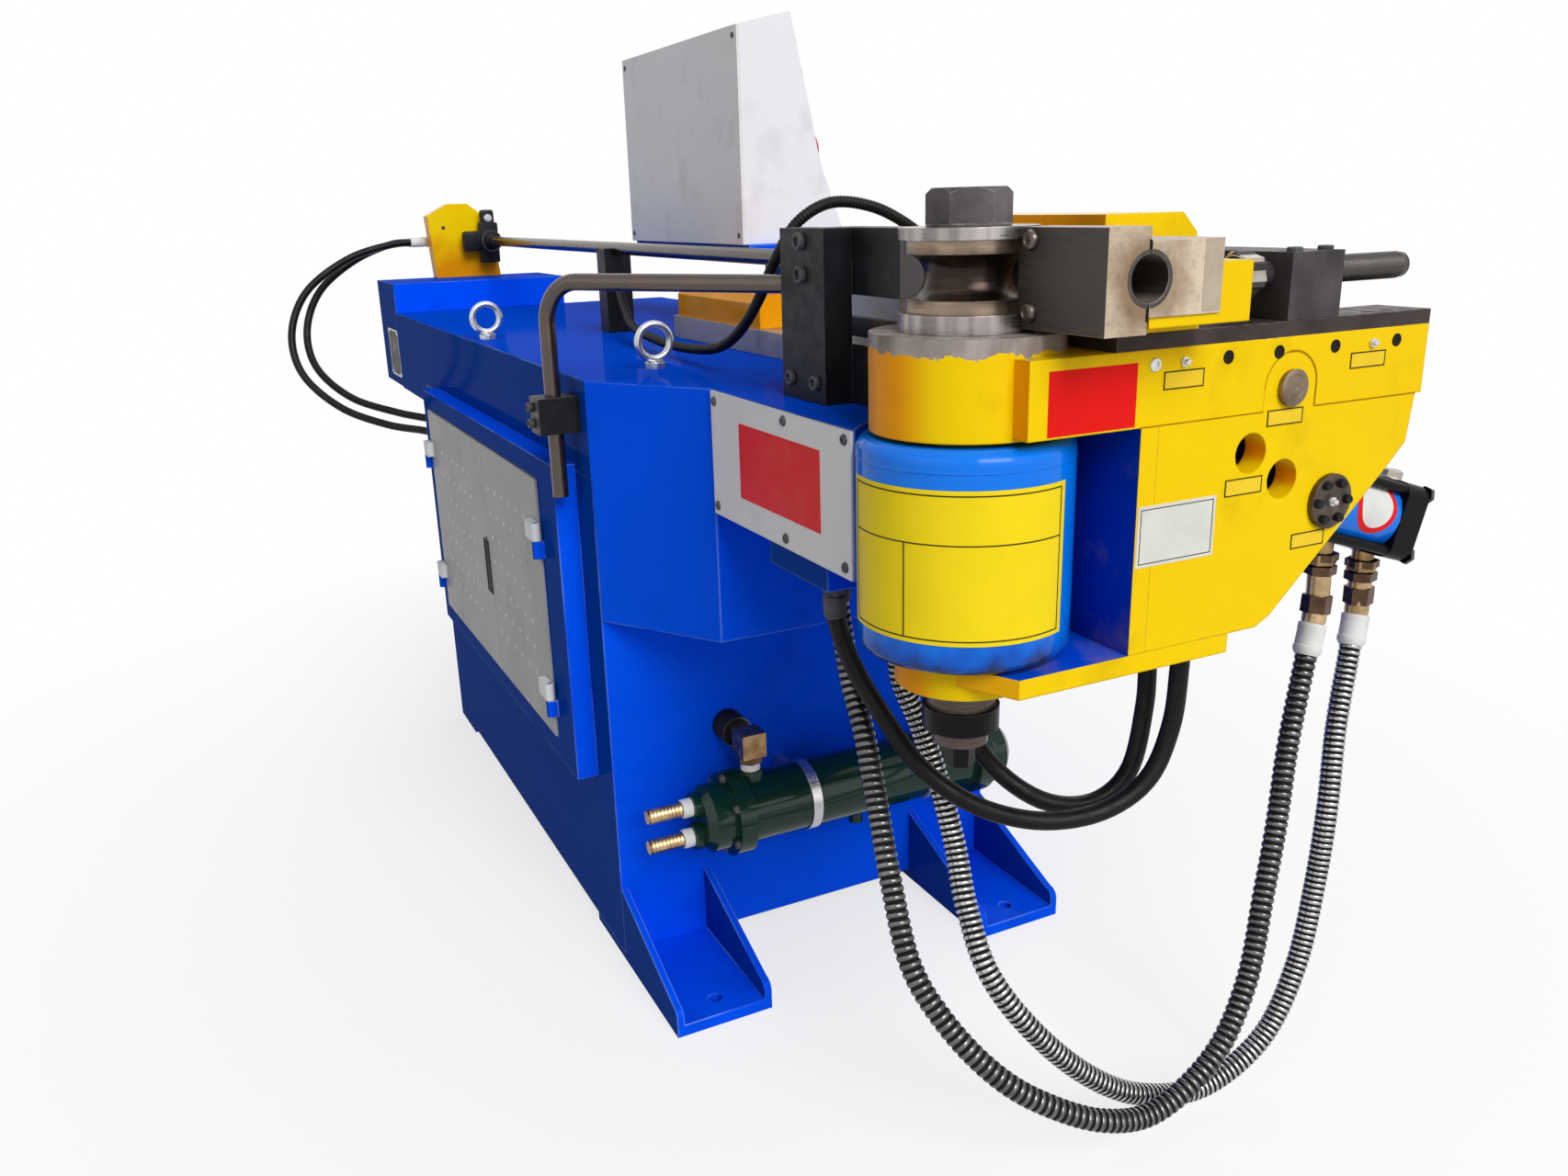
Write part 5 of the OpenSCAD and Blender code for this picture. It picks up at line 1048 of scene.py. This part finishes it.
def dress_drum():
    Piece("drum_label").wrap(PANEL_R, -110, 25, 637, 776, 0.4).done("frame", "yellow_field")
    lines = Piece("drum_label_lines")
    for line in DRUM_LINES:
        lines.wrap(LINE_R, *line, 0.45)
    lines.done("frame", "line")
    Piece("drum_bead").lathe(at(0, 0, 789), UP, DRUM_BEAD, 96).done("frame", "azure")


def dress_nose():
    Piece("nose_red_field").left_field(NOSE_FACE, (-300, 700), (-113, 783)).done("frame", "red_field")
    corners = ((-365, 799), (-190, 801), (-365, 678), (-190, 678), (-64, 801), (-64, 678))
    places = [(x, NOSE_FACE, z) for x, z in corners]
    spread("nose_screws", "frame", "bolt", Piece.pan_screw, places, LEFT, 5.5, 3)


COOLER, COOLER_PORT = (-460, 230), -20
ELBOW_X, ELBOW_Z = -478, 325
COOLER_BOLT, STRAP_SCREW = (9, 5, 6.4), (8, 5, 6)
BARBS, BARB_PITCH, BARB = 9, 5, ((9.1, 0), (10.1, 1), (9.1, 4.4))
PIPE_TAPE = [(11.6, 0), (12.8, 1), (12.5, 4), (12.9, 8), (12.6, 14), (11, 15)]
BOSS_TAPE = [(11.8, 0), (13.4, 1), (13.0, 6), (13.3, 10), (11.8, 12)]
BOSS = [(17, 0), (17, 8), (15, 12), (12, 12)]
COUPLING = [(21.2, 0), (22, 2), (22, 12), (21.4, 13), (21.4, 34), (20, 36.4), (12.2, 36.4)]
ELBOW_HEX = [(12.2, 0), (15, 0.5, 6), (15, 9, 6), (12.4, 10)]


def dress_cooler():
    x, z = COOLER
    bolts = Piece("cooler_bolts")
    for y, axis in ((-60, LEFT), (342, RIGHT)):
        for across, up in six_round(COOLER, 51, 30):
            bolts.washer_bolt(at(across, y, up), axis, *COOLER_BOLT)
    bolts.done("frame", "bolt")
    barbs, tape = Piece("cooler_barbs"), Piece("cooler_tape")
    profile = [(radius, k * BARB_PITCH + height) for k in range(BARBS) for radius, height in BARB]
    for up in (z - 22, z + 22):
        barbs.lathe(at(x, -122.5, up), LEFT, profile)
        tape.lathe(at(x, -107.6, up), LEFT, PIPE_TAPE)
    tape.lathe(at(x, COOLER_PORT, 287), UP, BOSS_TAPE)
    barbs.done("frame", "gold")
    tape.done("frame", "white")
    Piece("cooler_boss").lathe(at(x, COOLER_PORT, 274), UP, BOSS, 28).done("frame", "green")
    Piece("cooler_coupling").lathe(at(-535, COOLER_PORT, ELBOW_Z), FRONT, COUPLING, 36).done("frame", "black")
    elbow = Piece("cooler_elbow_hex").lathe(at(x, COOLER_PORT, 298), UP, ELBOW_HEX)
    elbow.lathe(at(ELBOW_X, COOLER_PORT, ELBOW_Z), (-1, 0, 0), ELBOW_HEX).done("frame", "hex_brown")
    straps = [(x - 30, y, z + 30) for y in (57.8, 246.8)]
    spread("cooler_strap_screws", "frame", "plate", Piece.washer_bolt, straps, (0.3, 0, 1), *STRAP_SCREW)


DOOR_FACE = -221
DIMPLE = [(4.6, 0), (4.2, 0.9), (2.8, 1.6), (1.6, 0.4), (0, 0.2)]
DIMPLE_ROWS = range(366, 602, 39)
DIMPLE_COLUMNS = {"door_front": range(-962, -740, 41), "door_rear": range(-1300, -1080, 41)}


def dress_doors():
    for body, columns in DIMPLE_COLUMNS.items():
        places = [(x, DOOR_FACE, z) for x in columns for z in DIMPLE_ROWS]
        # The dimples' paler grey is painted highlight.
        spread(body + "_dimples", body, "lit_dimple", Piece.lathe, places, LEFT, DIMPLE, 14)
    # Painted shade: near-black fields for the door pull's recessed slot.
    pull_shade = Piece("door_pull_shade").border(Piece.left_field, DOOR_FACE, (-1028, 420), (-998, 508), 4, 1.2)
    pull_shade.done("door_rear", "socket")
    Piece("door_pull_cup_shade").left_field(DOOR_FACE, (-1024, 424), (-1002, 504)).done("door_rear", "socket")


# The console's sloping face: its foot and its top as (y, z), and what lies on it as shares of its height.
SLOPE_FOOT, SLOPE_TOP = (337, 1064), (287, 1288)
SLABS = (("console_bezel", "bolt", (-1330, -1030), (0.28, 0.92), 0, 4),
         ("console_screen", "screen", (-1316, -1044), (0.34, 0.88), 4, 0.6))
KNOB = [(15, 0), (15, 3), (11, 3.4), (11, 12), (9.6, 13.4), (0, 13.4)]


def dress_console():
    corners = [(x, 197, z) for x in (-1386, -910) for z in (964, 1253)]
    spread("console_back_screws", "frame", "bolt", Piece.pan_screw, corners, LEFT, 4.5, 2)
    foot, top = Vector((0, *SLOPE_FOOT)), Vector((0, *SLOPE_TOP))
    along = (top - foot).normalized()
    out = Vector((0, along.z, -along.y))

    def slope(x, share, lift):
        return at(x, 0, 0) + (foot.lerp(top, share) + out * lift) * MM

    for name, material, across, shares, lift, thick in SLABS:
        rows = [[slope(x, share, lift) for x in across] for share in shares]
        Piece(name).patch(rows, thick, out).done("frame", material)
    knobs = Piece("console_knobs")
    for share in (0.62, 0.82):
        for x in (-990, -930):
            knobs.lathe(slope(x, share, 0), out, KNOB, 28)
    knobs.done("frame", "green_button")


REAR_FACE, PLATE_FACE = -185, -186
KNUCKLE_X = -1973
KNUCKLE = [(23, 0), (24, 1), (24, 36), (20, 42), (15, 42.6), (14, 52), (10.2, 54)]
# The knuckle's blocks, from the tube's line: end, low corner, high corner, rounding.
KNUCKLE_BLOCKS = ((-1949, (-21, -47), (21, 40), 5), (-1950, (-15, 0), (15, 67), 7),
                  (-1949.5, (-58, -22), (0, 22), 8))
KNUCKLE_PIN = [(9, 0), (9, 2), (7.4, 4), (0, 4.4)]


def dress_rear():
    Piece("rear_nameplate").left_field(REAR_FACE, (-1948, 672), (-1834, 774), 1.0).done("frame", "nameplate")
    line = Piece("rear_nameplate_line")
    line.border(Piece.left_field, PLATE_FACE, (-1946, 674), (-1836, 772), 2.4, 0.4).done("frame", "plate")
    rivets = [(x, PLATE_FACE, z) for x in (-1940, -1842) for z in (680, 766)]
    spread("rear_nameplate_rivets", "frame", "plate", Piece.pan_screw, rivets, LEFT, 3.2, 1.6)
    y, z = TUBE
    knuckle = Piece("mandrel_knuckle").lathe(at(KNUCKLE_X, y, z), FRONT, KNUCKLE, 32)
    for end, low, high, edge in KNUCKLE_BLOCKS:
        knuckle.box(at(KNUCKLE_X - 0.5, y + low[0], z + low[1]), at(end, y + high[0], z + high[1]), edge)
    knuckle.done("mandrel", "black")
    Piece("knuckle_pin").lathe(at(-1951, y, 996), FRONT, KNUCKLE_PIN).done("mandrel", "plate")
    spread("bracket_screw", "frame", "bolt", Piece.socket_screw, [(-1985, -36, 978)], FRONT, 4, 1.2)
    feet = [(-590, -240, z) for z in (757, 777)]
    spread("clamp_block_screws", "frame", "bolt", Piece.socket_screw, feet, LEFT, 6, 6)


for dress in (dress_arm, dress_clamp_cylinder, dress_hoses, dress_tools, dress_drum, dress_nose, dress_cooler,
              dress_doors, dress_console, dress_rear):
    dress()


# Camera, light and floor

CAMERA_AT = Vector((1.873, -0.7523, 1.0113))
YAW, PITCH, ROLL = math.radians(63.93), math.radians(17.25), math.radians(-1.58)
LENS, SENSOR, SIGHT = 28.49, 36.0, 60
# Each lamp's direction from the object, strength, and spread in degrees.
LAMPS = {"key": ((1.0, 0.02, 0.85), 2.3, 35), "front": ((1.0, 0.15, 0.12), 0.7, 60),
         "side": ((0.2, -1.0, 0.45), 0.4, 60), "back": ((-0.8, 0.7, 0.9), 0.4, 40)}
WORLD_LEVEL = 0.2
FLOOR_REACH = 14.0


def aim_camera():
    back = Vector((math.sin(YAW) * math.cos(PITCH), -math.cos(YAW) * math.cos(PITCH), math.sin(PITCH)))
    right = Vector((math.cos(YAW), math.sin(YAW), 0))
    up = back.cross(right)
    side = math.cos(ROLL) * right + math.sin(ROLL) * up
    top = -math.sin(ROLL) * right + math.cos(ROLL) * up
    data = bpy.data.cameras.new("photo_camera")
    data.sensor_fit = "HORIZONTAL"
    data.sensor_width = SENSOR
    data.lens = LENS
    data.clip_end = SIGHT
    camera = put("photo_camera", data)
    camera.matrix_world = Matrix.Translation(CAMERA_AT) @ Matrix((side, top, back)).transposed().to_4x4()
    bpy.context.scene.camera = camera


def sun_light(name, toward, strength, spread):
    """A wide soft lamp; toward points from the object to it."""
    data = bpy.data.lights.new(name, "SUN")
    data.energy = strength
    data.angle = math.radians(spread)
    put(name, data).matrix_world = Vector(toward).to_track_quat("Z", "Y").to_matrix().to_4x4()


def seen_rays(tree):
    """One for rays of the camera, reflections and clear materials, nought for light on the object."""
    rays = tree.nodes.new("ShaderNodeLightPath")
    share = rays.outputs["Is Camera Ray"]
    for name in ("Is Glossy Ray", "Is Transmission Ray"):
        larger = tree.nodes.new("ShaderNodeMath")
        larger.operation = "MAXIMUM"
        tree.links.new(share, larger.inputs[0])
        tree.links.new(rays.outputs[name], larger.inputs[1])
        share = larger.outputs[0]
    return share


def light_world(level):
    """White behind everything the camera or a reflection sees, softer as light on the object."""
    world = bpy.data.worlds.new("studio")
    bpy.context.scene.world = world
    world.use_nodes = True
    tree = world.node_tree
    background = tree.nodes["Background"]
    background.inputs["Color"].default_value = (1, 1, 1, 1)
    reach = tree.nodes.new("ShaderNodeMapRange")
    reach.inputs["To Min"].default_value = level
    reach.inputs["To Max"].default_value = 1.0
    tree.links.new(seen_rays(tree), reach.inputs["Value"])
    tree.links.new(reach.outputs["Result"], background.inputs["Strength"])


def lay_floor():
    """A pale floor that keeps the shadow near the object and runs out to white."""
    look = Look("studio_floor")
    pale = look.mix(look.cloud(0.8, 2, 0.3, 0.7), (0.95, 0.95, 0.95), (0.935, 0.935, 0.94))
    seen = seen_rays(look.tree)
    material = look.finish(look.mix(seen, (0.42, 0.42, 0.42), pale), 0.7)
    distance = look.add("ShaderNodeVectorMath", operation="LENGTH")
    look.feed(distance.inputs[0], look.place)
    far = look.band(distance.outputs["Value"], 0.7, 2.0, 0.68, 1.0)
    both = look.add("ShaderNodeMixShader")
    look.feed(both.inputs[0], look.times(far, seen))
    look.feed(both.inputs[1], look.shader.outputs[0])
    look.feed(both.inputs[2], look.add("ShaderNodeEmission").outputs[0])
    look.feed(look.tree.nodes["Material Output"].inputs["Surface"], both.outputs[0])
    data = bpy.data.meshes.new("studio_floor")
    corners = ((-1, -1), (1, -1), (1, 1), (-1, 1))
    data.from_pydata([(x * FLOOR_REACH, y * FLOOR_REACH, 0) for x, y in corners], [], [(0, 1, 2, 3)])
    data.materials.append(material)
    floor = put("studio_floor", data)


aim_camera()
for lamp, settings in LAMPS.items():
    sun_light(lamp, *settings)
light_world(WORLD_LEVEL)
lay_floor()
bpy.context.scene.view_settings.view_transform = "Standard"
